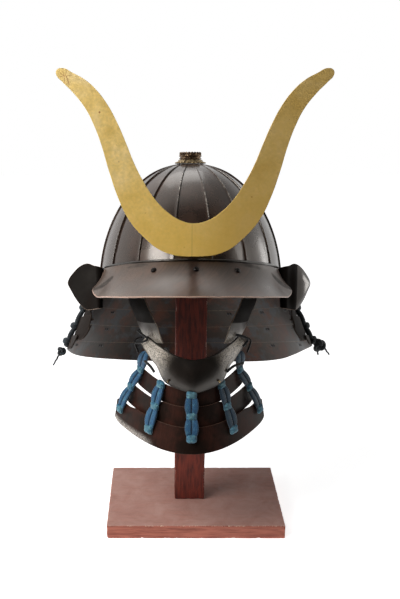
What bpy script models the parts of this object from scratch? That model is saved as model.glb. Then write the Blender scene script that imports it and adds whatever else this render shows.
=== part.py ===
"""A kabuto, the samurai helmet, with its chin guard, on a plain wooden display stand.

The frame: metres, +Z up, +X to the helmet's left side, -Y the way the helmet faces.
The origin is on the underside of the stand's board, on the post's axis.
"""

import math

import bmesh
import bpy
from mathutils import Matrix, Vector

MM = 0.001                      # every driving size below is in millimetres
GAP = 0.3 * MM                  # left between pieces that touch

# ------------------------------------------------------------ stand
BOARD_SIZE = (229.0, 154.0, 19.0)
BOARD_OFF_X = 6.5               # the board's middle is this far from the post's
POST_SIZE = (40.0, 24.0)
PERCH_RADIUS = 44.0
PERCH_HEIGHT = 9.0              # of its straight rim
PERCH_SPACE = 1.4               # between its domed top and the bowl that rests on it
EDGE_ROUND = 1.0                # of the board's and the post's edges
BRACKET_WIDTH = 16.0            # the arm from the post that carries the chin guard

# ------------------------------------------------------------ bowl
HELMET_X = -2.0                 # the helmet sits this far to one side of the post
BOWL_HALF_WIDTH = 110.5
BOWL_HALF_DEPTH = 122.0
BOWL_HEIGHT = 144.0             # from its widest level up to the crown
BOWL_WIDEST_Z = 323.0
BOWL_LEAN = 10.0                # degrees that the crown leans back
BRIM_SLOPE = 21.0               # degrees that the brim line falls towards the back
BRIM_Z = 314.0                  # height of the brim line above the post
BAND_WIDTH = 20.0               # brow band below the plates
BAND_LAP = 8.0                  # the band's joggled top, inside the plates
SHEET = 1.6                     # iron plate
PLATES = 16
RIB = 3.4                       # height of each plate's turned-up edge, from its inner face
RIB_AT_CROWN = 2.1
CROWN_HOLE = 15.0               # radius of the opening at the crown

# ------------------------------------------------------------ crown fitting
WASHER_RADIUS = 19.5
WASHER_PETALS = 16
PETAL_DEPTH = 0.09              # of its radius
COLLAR_RADIUS = 14.0
COLLAR_HEIGHT = 8.5

# ------------------------------------------------------------ peak
PEAK_JOIN_SWEEP = 66.0          # degrees of bowl each side of the front
PEAK_SEAM = 2.0                 # between the plates' ends and the peak's top edge
PEAK_HALF_WIDTH = 122.0
PEAK_REACH = 132.0              # from PEAK_ROOT_Y to the foremost edge
PEAK_ROOT_Y = -40.0
PEAK_EDGE_SWEEP = 77.0
PEAK_EDGE_Z = 352.5
PEAK_EDGE_SLOPE = 17.0
PEAK_CORNER_LIFT = 8.0
RIVET_RADIUS = 3.4
RIVET_X = (-32.6, 1.8, 36.3)    # as shares of 96 across the peak

# ------------------------------------------------------------ crest, in its own plane
CREST_OUTER = [(0, -8), (32, -3.2), (55, 13.6), (71, 33), (82, 56), (91, 83), (99, 111),
               (106, 130), (115, 148), (128, 164.5), (138.5, 175), (145, 182.5)]
CREST_TIP = [(144.5, 187.5), (138.5, 189.5)]
CREST_INNER = [(127.5, 184.5), (115.5, 178), (104, 168), (92, 152.5), (81, 132), (72, 111),
               (63.5, 90), (54.5, 72.5), (43, 54.5), (29, 40), (14.5, 30.8), (0, 27.7)]
CREST_THICK = 1.5
CREST_BASE = (-2.4, -134.0, 396.0)
CREST_LEAN = 8.0
HOOK_SPAN = (398.0, 414.0)      # heights of the prong that holds the crest
HOOK_WIDTH = 13.0

# ------------------------------------------------------------ neck guard, on the brim's plane
LAMES = 4
LAME_TOP = 6.0                  # the first lame's top edge above the brim line
LAME_DROP = 90.0                # the last lame's bottom edge below it
LAME_LAP = 6.0
LAME_HALF_WIDTH = 113.8         # of the first lame's top edge
LAME_HALF_DEPTH = 127.5
LAME_FLARE = 20.6               # degrees from the brim plane's normal
LAME_BACKSET = 0.2              # each millimetre of drop carries a lame this far back
LAME_STEP = 2.7                 # each lame hangs this far outside the one above
# where each lame's front ends stop, at its top edge and at its bottom edge
LAME_FRONT = ((-47.0, -47.0), (-45.0, -68.0), (-68.0, -74.0), (-50.0, -42.0))
LAME_CORNERS = (0.0, 2.0, 17.0, 1.0)
# the last lame's bottom edge, from the back to each front end: share of the way, and how
# far it is above the lame's own bottom
LAST_LAME_EDGE = {
    -1: [(0, -4.6), (0.12, -4.3), (0.3, -2.2), (0.5, 1.0), (0.65, 4.5), (0.8, 10.0), (0.9, 12.0), (1, 12.5)],
    1: [(0, -4.6), (0.12, -4.6), (0.35, -4.3), (0.5, -0.7), (0.6, 5.0), (0.7, 10.6), (0.8, 14.0), (1, 18.0)],
}
CURL_RADIUS = 7.0
CURL_TURN = {-1: 136.0, 1: 148.0}           # degrees, on the -X side and on the +X side
FLAP_LENGTH = 38.5
FLAP_RAKE = 0.25                # each millimetre down brings the curl this far forward
# the flap's edges: share of its length, and level on the brim's plane
FLAP_TOP_EDGE = [(0, 22), (0.2, 25), (0.4, 24), (0.6, 20), (0.8, 13.5), (0.93, 8), (1, 3)]
FLAP_LOW_EDGE = [(0, -31), (0.3, -32), (0.45, -30), (0.6, -24.5), (0.75, -17), (0.87, -9),
                 (0.97, -2), (1, 1)]
NECK_LACES = 9
NECK_LACE_STEP = 24.5           # degrees between columns, counted from the back
LACE_WIDTH = 12.0
LACE_THICK = 3.8
LACE_SPACE = 1.3                # between a lace and the lame behind it
KNOT_DROP = {-1: 8.0, 1: 4.0}   # the two end columns run on below their last touch
KNOT_THICK = {-1: (4.0, 5.5, 6.0), 1: (8.0, 13.0, 11.0)}   # and swell into a knot
# where a column touches the first lame, the middle ones and the last: shares down the lame
LACE_TOUCHES = ((0.62, 0.97), (0.3, 0.97), (0.3, 0.97), (0.3, 0.9))

# ------------------------------------------------------------ chin guard, one half (x, y, z)
CHIN_TOP = [(0, -112, 258.5), (11, -111, 260), (20.5, -109, 262.8), (29, -105.5, 266),
            (37, -97.5, 269.2), (46.5, -84, 271.5), (53.8, -72, 274)]
CHIN_LOW = [(0, -112, 219.4), (19.6, -106, 222.6), (31.3, -99, 226.6), (36.5, -93, 231.5),
            (42.5, -86, 242.9), (48.5, -80, 248.5), (62, -65, 263.8)]
CHIN_BULGE = 5.0
CHEEK_FRONT = [(39, -93, 271), (42.5, -92, 281), (45.5, -89, 290.5), (49.5, -85.5, 298.5),
               (55.5, -81, 309.5), (61, -76, 322), (66, -70, 333)]
CHEEK_BACK = [(59, -62, 266), (63.5, -58.5, 273), (68, -54.5, 281), (72.5, -49.5, 291.5),
              (79.5, -44.5, 307), (82.5, -42, 321), (79, -50, 334)]
CHEEK_BULGE = 5.0
CHEEK_SPACE = 3.2               # between the cheek plates and the chin guard's arms
CORD_HOOK = [(60.5, -69.5, 272), (66, -68, 270), (69.5, -66, 266), (68, -67, 259),
             (65.5, -68, 252)]
HOOK_WIRE = 1.1                 # the wire's radius

# ------------------------------------------------------------ throat guard
# each lame: half width, front y, rise back of its ends in y and z, bottom z, height,
# and how much its top edge is drawn in at the front and at the ends
THROAT_LAMES = [
    dict(half=66.0, front=-113.0, back=60.0, rise=9.0, bottom=199.0, height=21.0, flare=5.0, draw=4.0),
    dict(half=79.0, front=-121.0, back=70.0, rise=8.0, bottom=175.0, height=24.0, flare=6.0, draw=4.0),
    dict(half=93.0, front=-133.0, back=78.0, rise=9.0, bottom=149.5, height=27.0, flare=9.0, draw=4.0),
]
THROAT_X = -2.5
THROAT_LACES = (-0.92, -0.53, 0.0, 0.53, 0.92)
OUTER_LACE_TOP = (56.0, -67.0, 253.0)       # the end columns reach up to the chin guard
THROAT_LACE_WIDTH = 12.5
THROAT_LACE_THICK = 4.5
CHIN_BRACKET = [(-12.3, 193.0), (-12.3, 205.0), (-104.0, 240.0), (-104.0, 229.0)]   # y and z

# ------------------------------------------------------------ loose lacing ends
TAIL_RADIUS = 1.2
TAIL_LEFT = [(-166, -35, 235.5), (-169.8, -35, 229), (-173.8, -35, 222)]
TAIL_RIGHT_A = [(156.6, -35, 243), (157.2, -35, 239.5), (158, -35, 236)]
TAIL_RIGHT_B = [(164, -35, 248), (167.5, -35, 242.5), (172.3, -35, 236)]

COLLECTION_NAME = "kabuto_helmet_on_stand"
FINISHES = {                    # base colour, metallic, roughness
    "lacquered_iron": ((0.022, 0.016, 0.014), 0.3, 0.28),
    "brown_lacquer": ((0.055, 0.033, 0.026), 0.3, 0.32),
    "gilt_brass": ((0.50, 0.33, 0.09), 1.0, 0.42),
    "aged_bronze": ((0.20, 0.15, 0.10), 1.0, 0.50),
    "blue_silk": ((0.02, 0.08, 0.15), 0.0, 0.75),
    "navy_silk": ((0.012, 0.022, 0.035), 0.0, 0.75),
    "painted_wood": ((0.17, 0.035, 0.022), 0.0, 0.60),
    "black_iron": ((0.02, 0.02, 0.02), 0.6, 0.45),
}


# ------------------------------------------------------------ scene, collections, materials
def clear_scene():
    for obj in list(bpy.data.objects):
        bpy.data.objects.remove(obj, do_unlink=True)


def new_collection(name):
    collection = bpy.data.collections.new(name)
    bpy.context.scene.collection.children.link(collection)
    return collection


def make_finish(name):
    colour, metallic, roughness = FINISHES[name]
    finish = bpy.data.materials.new(name)
    finish.use_nodes = True
    shader = finish.node_tree.nodes["Principled BSDF"]
    shader.inputs["Base Color"].default_value = (*colour, 1.0)
    shader.inputs["Metallic"].default_value = metallic
    shader.inputs["Roughness"].default_value = roughness
    finish.diffuse_color = (*colour, 1.0)
    return finish


def add_object(name, mesh, finish, smooth_angle=None):
    obj = bpy.data.objects.new(name, mesh)
    PART.objects.link(obj)
    mesh.materials.clear()
    mesh.materials.append(FINISH[finish])
    if smooth_angle:
        mesh.shade_smooth()
        mesh.set_sharp_from_angle(angle=math.radians(smooth_angle))
    return obj


# ------------------------------------------------------------ mesh makers
def grid_mesh(name, rows, ring=False, caps=False, loop=False):
    """A surface through rows of points.

    `ring` closes each row, `caps` fills the first and last rows, and `loop` joins them.
    """
    bm = bmesh.new()
    lines = [[bm.verts.new(Vector(point) * MM) for point in row] for row in rows]
    count = len(rows[0])
    following = lines[1:] + lines[:1] if loop else lines[1:]
    for upper, lower in zip(lines, following):
        for i in range(count if ring else count - 1):
            j = (i + 1) % count
            bm.faces.new((upper[i], upper[j], lower[j], lower[i]))
    if caps:
        bm.faces.new(list(reversed(lines[0])))
        bm.faces.new(lines[-1])
    bmesh.ops.recalc_face_normals(bm, faces=bm.faces)
    mesh = bpy.data.meshes.new(name)
    bm.to_mesh(mesh)
    bm.free()
    return mesh


def sheet_object(name, mesh, finish, toward, even=False):
    """A sheet of iron: an open surface, thickened on the side away from the point `toward`."""
    inside = Vector(toward) * MM
    facing = sum(face.normal.dot(face.center - inside) * face.area for face in mesh.polygons)
    if facing < 0:
        mesh.flip_normals()
    obj = add_object(name, mesh, finish, smooth_angle=40)
    shell = obj.modifiers.new("sheet", "SOLIDIFY")
    shell.thickness = SHEET * MM
    shell.offset = 1.0
    shell.use_even_offset = even
    return obj


def box_object(name, size, centre, finish, bevel):
    bpy.ops.mesh.primitive_cube_add(size=1.0)
    obj = bpy.context.object
    obj.name = name
    for collection in list(obj.users_collection):
        collection.objects.unlink(obj)
    PART.objects.link(obj)
    obj.data.name = name
    obj.data.transform(Matrix.Diagonal((*(Vector(size) * MM), 1.0)))
    obj.location = Vector(centre) * MM
    obj.data.materials.append(FINISH[finish])
    return softened(obj, bevel)


def softened(obj, bevel):
    """The same object with its edges rounded off."""
    edge = obj.modifiers.new("edge", "BEVEL")
    edge.width = bevel * MM
    edge.segments = 2
    return obj


def turned_object(name, profile, finish, place, steps=24):
    """A solid turned about +Z from an outer profile that runs from top to bottom."""
    bm = bmesh.new()
    verts = [bm.verts.new((r * MM, 0.0, z * MM)) for r, z in profile]
    for a, b in zip(verts, verts[1:]):
        bm.edges.new((a, b))
    mesh = bpy.data.meshes.new(name)
    bm.to_mesh(mesh)
    bm.free()
    obj = add_object(name, mesh, finish)
    obj.matrix_world = place
    turn = obj.modifiers.new("turn", "SCREW")
    turn.steps = turn.render_steps = steps
    turn.use_merge_vertices = True
    turn.merge_threshold = 0.00005
    turn.use_smooth_shade = True
    return obj


def outline_object(name, points, thick, place, finish, smooth=True):
    """A flat outline cut from plate, `thick` millimetres, its middle plane at z = 0."""
    curve = bpy.data.curves.new(name, "CURVE")
    curve.dimensions = "2D"
    curve.fill_mode = "BOTH"
    curve.extrude = thick * MM / 2
    curve.resolution_u = curve.render_resolution_u = 3 if smooth else 1
    spline = curve.splines.new("BEZIER")
    spline.bezier_points.add(len(points) - 1)
    spline.use_cyclic_u = True
    for knot, (x, y) in zip(spline.bezier_points, points):
        knot.co = (x * MM, y * MM, 0.0)
        knot.handle_left_type = knot.handle_right_type = "AUTO" if smooth else "VECTOR"
    guide = bpy.data.objects.new(name + "_outline", curve)
    PART.objects.link(guide)
    return curve_to_mesh(guide, name, place, finish)


def wire_object(name, points, radius, finish):
    """A round wire or cord through the points, with closed ends."""
    curve = bpy.data.curves.new(name, "CURVE")
    curve.dimensions = "3D"
    curve.bevel_depth = radius * MM
    curve.bevel_resolution = 1
    curve.use_fill_caps = True
    spline = curve.splines.new("POLY")
    spline.points.add(len(points) - 1)
    for knot, point in zip(spline.points, points):
        knot.co = (*(Vector(point) * MM), 1.0)
    guide = bpy.data.objects.new(name + "_route", curve)
    PART.objects.link(guide)
    return curve_to_mesh(guide, name, Matrix.Identity(4), finish)


def curve_to_mesh(guide, name, place, finish):
    bpy.context.view_layer.update()
    evaluated = guide.evaluated_get(bpy.context.evaluated_depsgraph_get())
    mesh = bpy.data.meshes.new_from_object(evaluated)
    mesh.name = name
    bpy.data.objects.remove(guide, do_unlink=True)
    bm = bmesh.new()
    bm.from_mesh(mesh)
    bmesh.ops.remove_doubles(bm, verts=bm.verts, dist=0.00001)
    bmesh.ops.recalc_face_normals(bm, faces=bm.faces)
    bm.to_mesh(mesh)
    bm.free()
    obj = add_object(name, mesh, finish, smooth_angle=40)
    obj.matrix_world = place
    return obj


def strip_object(name, route, side, out, width, thick, finish):
    """A flat braid along a route of points.

    `side` and `out` give its width and face ways, and `thick` its thickness at each point.
    """
    rows = []
    for centre, across, away, deep in zip(route, side, out, thick):
        a = across.normalized() * width / 2
        n = away.normalized() * deep
        rows.append([centre - a, centre + a, centre + a * 0.55 + n, centre - a * 0.55 + n])
    mesh = grid_mesh(name, rows, ring=True, caps=True)
    return add_object(name, mesh, finish, smooth_angle=50)


def side_on(x):
    """The placing that stands an outline up in the plane of Y and Z, its middle at x."""
    place = Matrix(((0, 0, 1, 0), (1, 0, 0, 0), (0, 1, 0, 0), (0, 0, 0, 1)))
    place.translation.x = x * MM
    return place


# ------------------------------------------------------------ curves through points
def spline_through(points, count):
    """A smooth Catmull-Rom curve through the points, as `count` points."""
    ends = [Vector(points[0]) * 2 - Vector(points[1])]
    ends += [Vector(point) for point in points]
    ends.append(Vector(points[-1]) * 2 - Vector(points[-2]))
    result = []
    for k in range(count):
        s = k / (count - 1) * (len(points) - 1)
        i = min(int(s), len(points) - 2)
        t = s - i
        p0, p1, p2, p3 = ends[i:i + 4]
        result.append(0.5 * (2 * p1 + (p2 - p0) * t + (2 * p0 - 5 * p1 + 4 * p2 - p3) * t ** 2
                             + (3 * p1 - p0 - 3 * p2 + p3) * t ** 3))
    return result


def mirrored(half):
    """A whole line from one half that starts on the middle plane, left end first."""
    other = [Vector((-p[0], p[1], p[2])) for p in half[1:]]
    return list(reversed(other)) + [Vector(p) for p in half]


def smooth_step(value):
    value = min(max(value, 0.0), 1.0)
    return value * value * (3.0 - 2.0 * value)


def rounded_end(across, cut):
    """How much of its full width a plate keeps, its corners rounded off near across = +-1."""
    near_end = max(0.0, (abs(across) - 0.9) / 0.1)
    return 1 - cut * (1 - math.sqrt(1 - near_end ** 2))


# ------------------------------------------------------------ the bowl's surface
def leaning_frame(height, lean):
    """The frame of a level tipped back by `lean` degrees, on the helmet's middle plane."""
    tip = Matrix.Rotation(math.radians(-lean), 4, "X")
    return Matrix.Translation((HELMET_X, 0, height)) @ tip


BOWL_FRAME = leaning_frame(BOWL_WIDEST_Z, BOWL_LEAN)
BRIM_FRAME = leaning_frame(BRIM_Z, BRIM_SLOPE)
BOWL_CORE = BOWL_FRAME @ Vector((0, 0, 20))


def bowl_point(angle, latitude, off=0.0):
    """A point on the bowl; below its widest level the wall runs straight down."""
    level = max(latitude, 0.0)
    flat = Vector((math.cos(angle), math.sin(angle), 0.0))
    axes = Vector((BOWL_HALF_WIDTH, BOWL_HALF_DEPTH, BOWL_HEIGHT))
    ball = flat * math.cos(level) + Vector((0, 0, math.sin(level)))
    point = Vector(a * b for a, b in zip(ball, axes))
    point.z += BOWL_HEIGHT * min(latitude, 0.0)
    normal = Vector(b / a for a, b in zip(axes, ball)).normalized()
    return BOWL_FRAME @ (point + normal * off)


def brim_distance(point):
    """How far a point is above the brim's plane."""
    return (BRIM_FRAME.inverted() @ point).z


def latitude_at(angle, above_brim):
    """The latitude where the bowl's surface is this far above the brim's plane."""
    low, high = -1.4, 1.3
    for _ in range(40):
        middle = (low + high) / 2
        if brim_distance(bowl_point(angle, middle)) < above_brim:
            low = middle
        else:
            high = middle
    return (low + high) / 2


def build_bowl():
    crown = math.acos(CROWN_HOLE / BOWL_HALF_WIDTH)
    sweep = math.tau / PLATES
    first = -math.pi / 2 - sweep / 2
    seam = 2 * GAP / MM / BOWL_HALF_WIDTH
    rows_up = 8
    for index in range(PLATES):
        start = first + index * sweep
        rows = []
        for k in range(rows_up + 1):
            rise = k / rows_up
            row = []
            for part in (0.0, 0.34, 0.67, 1.0):
                low = latitude_at(start + sweep * part, BAND_WIDTH)
                latitude = low + (crown - low) * rise
                narrow = min(2.2, 1 / math.cos(max(latitude, 0.0)))
                edge = seam * narrow
                angle = start + edge + (sweep - 2 * edge - 1.3 * edge) * part
                row.append(bowl_point(angle, latitude))
            rib = RIB_AT_CROWN + (RIB - RIB_AT_CROWN) * smooth_step((1 - rise) * 4)
            row.append(bowl_point(angle, latitude, rib))
            rows.append(row)
        name = f"bowl_plate_{index + 1:02d}"
        sheet_object(name, grid_mesh(name, rows), "lacquered_iron", BOWL_CORE, even=True)


def build_band():
    count = PLATES * 3
    rows = []
    inner = -(SHEET + 2 * GAP / MM)
    for above, off in ((0.0, 0.0), (BAND_WIDTH - 2.0, 0.0), (BAND_WIDTH - 0.6, inner),
                       (BAND_WIDTH + BAND_LAP, inner)):
        row = []
        for k in range(count):
            angle = math.tau * (k + 0.5) / count
            row.append(bowl_point(angle, latitude_at(angle, above), off))
        rows.append(row)
    mesh = grid_mesh("brow_band", rows, ring=True)
    sheet_object("brow_band", mesh, "lacquered_iron", BOWL_CORE)


def build_crown():
    place = BOWL_FRAME.copy()
    place.translation = place.translation * MM
    lift = BOWL_HEIGHT + RIB_AT_CROWN + 2 * GAP / MM
    drop = BOWL_HEIGHT * (1 - math.sqrt(1 - (WASHER_RADIUS / BOWL_HALF_WIDTH) ** 2))
    rings = [(5.0, lift + 0.3), (COLLAR_RADIUS - 1, lift - drop * 0.4 + 0.3),
             (WASHER_RADIUS, lift - drop + 0.9), (WASHER_RADIUS, lift - drop + 2.3),
             (COLLAR_RADIUS + 1, lift + 3.0), (5.0, lift + 3.4)]
    around = WASHER_PETALS * 3
    rows = []
    for k in range(around):
        angle = math.tau * k / around
        petal = 1 - PETAL_DEPTH * (1 - abs(math.sin(angle * WASHER_PETALS / 2))) ** 1.5
        row = []
        for radius, z in rings:
            scallop = petal if radius == WASHER_RADIUS else 1.0
            row.append((radius * scallop * math.cos(angle), radius * scallop * math.sin(angle), z))
        rows.append(row)
    mesh = grid_mesh("crown_washer", rows, ring=True, loop=True)
    washer = add_object("crown_washer", mesh, "aged_bronze", smooth_angle=40)
    washer.matrix_world = place
    base = lift + 3.4 + GAP / MM
    top = base + COLLAR_HEIGHT
    wall = 2.4
    profile = [(COLLAR_RADIUS - wall, top), (COLLAR_RADIUS - 0.6, top), (COLLAR_RADIUS, top - 0.6),
               (COLLAR_RADIUS, top - 4.6), (COLLAR_RADIUS - 1.4, base + 2.2),
               (COLLAR_RADIUS - 0.4, base), (COLLAR_RADIUS - 5, base),
               (COLLAR_RADIUS - 5, base + 1.5), (COLLAR_RADIUS - wall - 1.4, base + 2.2),
               (COLLAR_RADIUS - wall, top - 4.6), (COLLAR_RADIUS - wall, top)]
    turned_object("crown_collar", profile, "aged_bronze", place)


# ------------------------------------------------------------ peak and its rivets
def peak_point(across, out):
    """A point on the peak's under surface: across -1..1, out 0 at the bowl to 1 at its edge."""
    angle = math.radians(-90 + PEAK_JOIN_SWEEP * across)
    root = bowl_point(angle, latitude_at(angle, BAND_WIDTH - PEAK_SEAM), SHEET + 2 * GAP / MM)
    t = math.radians(PEAK_EDGE_SWEEP) * across
    back = PEAK_REACH * (1 - math.cos(t))
    corner = smooth_step((abs(across) - 0.8) / 0.2) * PEAK_CORNER_LIFT
    edge = Vector((HELMET_X + PEAK_HALF_WIDTH * math.sin(t), PEAK_ROOT_Y - PEAK_REACH + back,
                   PEAK_EDGE_Z - math.tan(math.radians(PEAK_EDGE_SLOPE)) * back + corner))
    bend = root.lerp(edge, 0.26)
    bend.z = root.z + (edge.z - root.z) * 0.70
    return root * (1 - out) ** 2 + bend * 2 * out * (1 - out) + edge * out ** 2


def build_peak():
    across_steps, out_steps = 24, 5
    rows = []
    for j in range(out_steps + 1):
        row = []
        for i in range(across_steps + 1):
            across = 2 * i / across_steps - 1
            row.append(peak_point(across, rounded_end(across, 0.22) * j / out_steps))
        rows.append(row)
    sheet_object("peak", grid_mesh("peak", rows), "brown_lacquer", (0, -60, 250), even=True)
    for name, x in zip(("right", "middle", "left"), RIVET_X):
        across = x / 96
        foot = peak_point(across, 0.24)
        along = peak_point(across, 0.28) - peak_point(across, 0.20)
        sideways = peak_point(across + 0.03, 0.24) - peak_point(across - 0.03, 0.24)
        out = sideways.cross(along).normalized()
        if out.y > 0:
            out = -out
        place = out.to_track_quat("Z", "X").to_matrix().to_4x4()
        place.translation = (foot + out * (SHEET + 0.55)) * MM
        dome = [(0.0, RIVET_RADIUS * 0.7)]
        dome += [(RIVET_RADIUS * math.cos(a), RIVET_RADIUS * 0.7 * math.sin(a))
                 for a in (1.1, 0.65, 0.25, 0.0)]
        turned_object(f"peak_rivet_{name}", dome + [(0.0, 0.0)], "black_iron", place, steps=12)


# ------------------------------------------------------------ crest
def build_crest():
    half = CREST_OUTER + CREST_TIP + CREST_INNER
    outline = half + [(-x, y) for x, y in reversed(half[1:-1])]
    place = Matrix.Translation(Vector(CREST_BASE) * MM) @ Matrix.Rotation(
        math.radians(90 - CREST_LEAN), 4, "X")
    outline_object("front_crest", outline, CREST_THICK, place, "gilt_brass")
    back = CREST_BASE[1] + CREST_THICK / 2 + 2 * GAP / MM
    lean = math.tan(math.radians(CREST_LEAN))
    low, high = HOOK_SPAN
    points = []
    for z in (low, high):
        points.append((back + (z - CREST_BASE[2]) * lean, z))
    for z in (high, (low + high) / 2, low):
        points.append((front_of_bowl(z) - SHEET - 2 * GAP / MM, z))
    place = side_on(CREST_BASE[0])
    outline_object("crest_hook", points, HOOK_WIDTH, place, "black_iron", smooth=False)


def front_of_bowl(z):
    """The y of the bowl's sheet, without its thickness, on the middle plane at a height."""
    low, high = 0.0, 1.3
    for _ in range(40):
        middle = (low + high) / 2
        if bowl_point(-math.pi / 2, middle).z < z:
            low = middle
        else:
            high = middle
    return bowl_point(-math.pi / 2, low).y


# ------------------------------------------------------------ neck guard
def lame_levels(index):
    pitch = (LAME_DROP + LAME_TOP - LAME_LAP) / LAMES
    top = LAME_TOP - index * pitch
    return top, top - pitch - LAME_LAP


def lame_axes(index, level):
    """A lame's half width, half depth and the setback of its middle, at a level."""
    drop = LAME_TOP - level
    out = drop * math.tan(math.radians(LAME_FLARE)) + index * LAME_STEP
    return LAME_HALF_WIDTH + out, LAME_HALF_DEPTH + out, drop * LAME_BACKSET


def lame_point(index, angle, level, off=0.0):
    a, b, back = lame_axes(index, level)
    flat = Vector((a * math.cos(angle), b * math.sin(angle) + back, level))
    lean = math.radians(LAME_FLARE)
    out = Vector((math.cos(angle) / a, math.sin(angle) / b, 0.0)).normalized()
    normal = out * math.cos(lean) + Vector((0, 0, math.sin(lean)))
    return BRIM_FRAME @ (flat + normal * off)


def lame_end_angle(index, down):
    """The angle past the side where a lame's front end stops, down 0 at its top to 1."""
    top, bottom = lame_levels(index)
    upper, lower = LAME_FRONT[index]
    _, half_depth, back = lame_axes(index, top + (bottom - top) * down)
    return math.asin((upper + (lower - upper) * down ** 2 - back) / half_depth)


def eased_ends(side):
    """The same -1..1 share, with the steps packed closer together near both ends."""
    if abs(side) < 0.7:
        return side
    return math.copysign(1 - 0.3 * ((1 - abs(side)) / 0.3) ** 1.3, side)


def lame_lift(index, run):
    """How far a lame's bottom edge climbs, at `run` radians round from the back."""
    end = math.pi / 2 - lame_end_angle(index, 1.0)
    share = min(abs(run) / end, 1.0)
    corner = LAME_CORNERS[index]
    left = min((1 - share) * end * LAME_HALF_DEPTH, corner)
    lift = corner - math.sqrt(corner ** 2 - (corner - left) ** 2)
    if index == LAMES - 1:
        lift += level_on(LAST_LAME_EDGE[1 if run < 0 else -1], share)
    return lift


def build_neck_guard():
    core = BRIM_FRAME @ Vector((0, 0, -20))
    around, down = 36, 3
    for index in range(1, LAMES):
        top, bottom = lame_levels(index)
        rows = []
        for j in range(down + 1):
            end = math.pi / 2 - lame_end_angle(index, j / down)
            row = []
            for i in range(around + 1):
                run = end * eased_ends(2 * i / around - 1)
                level = top + (bottom + lame_lift(index, run) - top) * j / down
                row.append(lame_point(index, math.pi / 2 + run, level))
            rows.append(row)
        name = f"neck_lame_{index + 1}"
        sheet_object(name, grid_mesh(name, rows), "brown_lacquer", core)
    build_flap_lame(core)


def flap_path(curl_turn):
    """Half of the first lame in plan: back to front, round the curl, out along the flap.

    Each entry is (flat point, share of the way from plain lame to full flap, share of the
    way along the flap itself).
    """
    a, b = LAME_HALF_WIDTH, LAME_HALF_DEPTH
    end = lame_end_angle(0, 0.0)
    path = []
    steps = 15
    for k in range(steps + 1):
        angle = math.pi / 2 + (end - math.pi / 2) * k / steps
        grow = smooth_step((k / steps - 0.84) / 0.16)
        path.append((Vector((a * math.cos(angle), b * math.sin(angle))), grow * 0.75, 0.0))
    heading = Vector((a * math.sin(end), -b * math.cos(end))).normalized()
    point = path[-1][0]
    turns = 6
    centre = point + Vector((-heading.y, heading.x)) * CURL_RADIUS
    arm = point - centre
    for k in range(1, turns + 1):
        turn = Matrix.Rotation(math.radians(curl_turn) * k / turns, 2)
        path.append((centre + turn @ arm, 0.75 + 0.25 * k / turns, 0.0))
    heading = Matrix.Rotation(math.radians(curl_turn), 2) @ heading
    point = path[-1][0]
    for k in range(1, 9):
        share = 1 - (1 - k / 8) ** 1.7
        path.append((point + heading * FLAP_LENGTH * share, 1.0, share))
    return path


def level_on(edge, share):
    """The level of a flap's edge line at a share of the flap's length."""
    points = spline_through([(*point, 0.0) for point in edge], 60)
    for a, b in zip(points, points[1:]):
        if b.x >= share:
            return a.y + (b.y - a.y) * (share - a.x) / max(b.x - a.x, 1e-9)
    return points[-1].y


def flap_half(side):
    """Columns of points down the first lame, from the back to one flap's tip."""
    top, bottom = lame_levels(0)
    lean = math.tan(math.radians(LAME_FLARE))
    half = []
    down = 4
    for flat, grow, along in flap_path(CURL_TURN[side]):
        high = top + (level_on(FLAP_TOP_EDGE, along) - top) * grow
        low = bottom + (level_on(FLAP_LOW_EDGE, along) - bottom) * grow
        column = []
        for j in range(down + 1):
            level = high + (low - high) * j / down
            flare = (top - level) * lean * (1 - grow)
            out = Vector((flat.x / LAME_HALF_WIDTH, flat.y / LAME_HALF_DEPTH)).normalized()
            spread = flat + out * flare
            spread.y += (top - level) * (LAME_BACKSET * (1 - grow) - FLAP_RAKE * grow)
            spread.x -= (top - level) * FLAP_RAKE * 0.35 * grow
            column.append(BRIM_FRAME @ Vector((side * spread.x, spread.y, level)))
        half.append(column)
    return half


def build_flap_lame(core):
    columns = list(reversed(flap_half(-1)[1:])) + flap_half(1)
    sheet_object("neck_lame_1", grid_mesh("neck_lame_1", columns), "brown_lacquer", core)


def build_neck_laces():
    for number in range(NECK_LACES):
        angle = math.radians(90 + (number - (NECK_LACES - 1) / 2) * NECK_LACE_STEP)
        route, side, out = [], [], []
        for index in range(LAMES):
            top, bottom = lame_levels(index)
            bottom += lame_lift(index, angle - math.pi / 2)
            for share in LACE_TOUCHES[index]:
                level = top + (bottom - top) * share
                off = SHEET + LACE_SPACE + (LAME_STEP if share > 0.9 else 0.0)
                here = lame_point(index, angle, level)
                point = lame_point(index, angle, level, off)
                if route and (point - route[-1]).length < LACE_THICK:
                    continue
                route.append(point)
                side.append(lame_point(index, angle + 0.05, level) - here)
                out.append(lame_point(index, angle, level, 1.0) - here)
        thick = [LACE_THICK] * len(route)
        if number in (0, NECK_LACES - 1):     # these two end in a knot
            hang = 1 if number == 0 else -1
            route.append(route[-1] + (route[-1] - route[-2]).normalized() * KNOT_DROP[hang])
            side.append(side[-1])
            out.append(out[-1])
            thick[-2:] = KNOT_THICK[hang]
        strip_object(f"neck_lace_{number + 1}", route, side, out, LACE_WIDTH, thick, "navy_silk")


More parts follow.
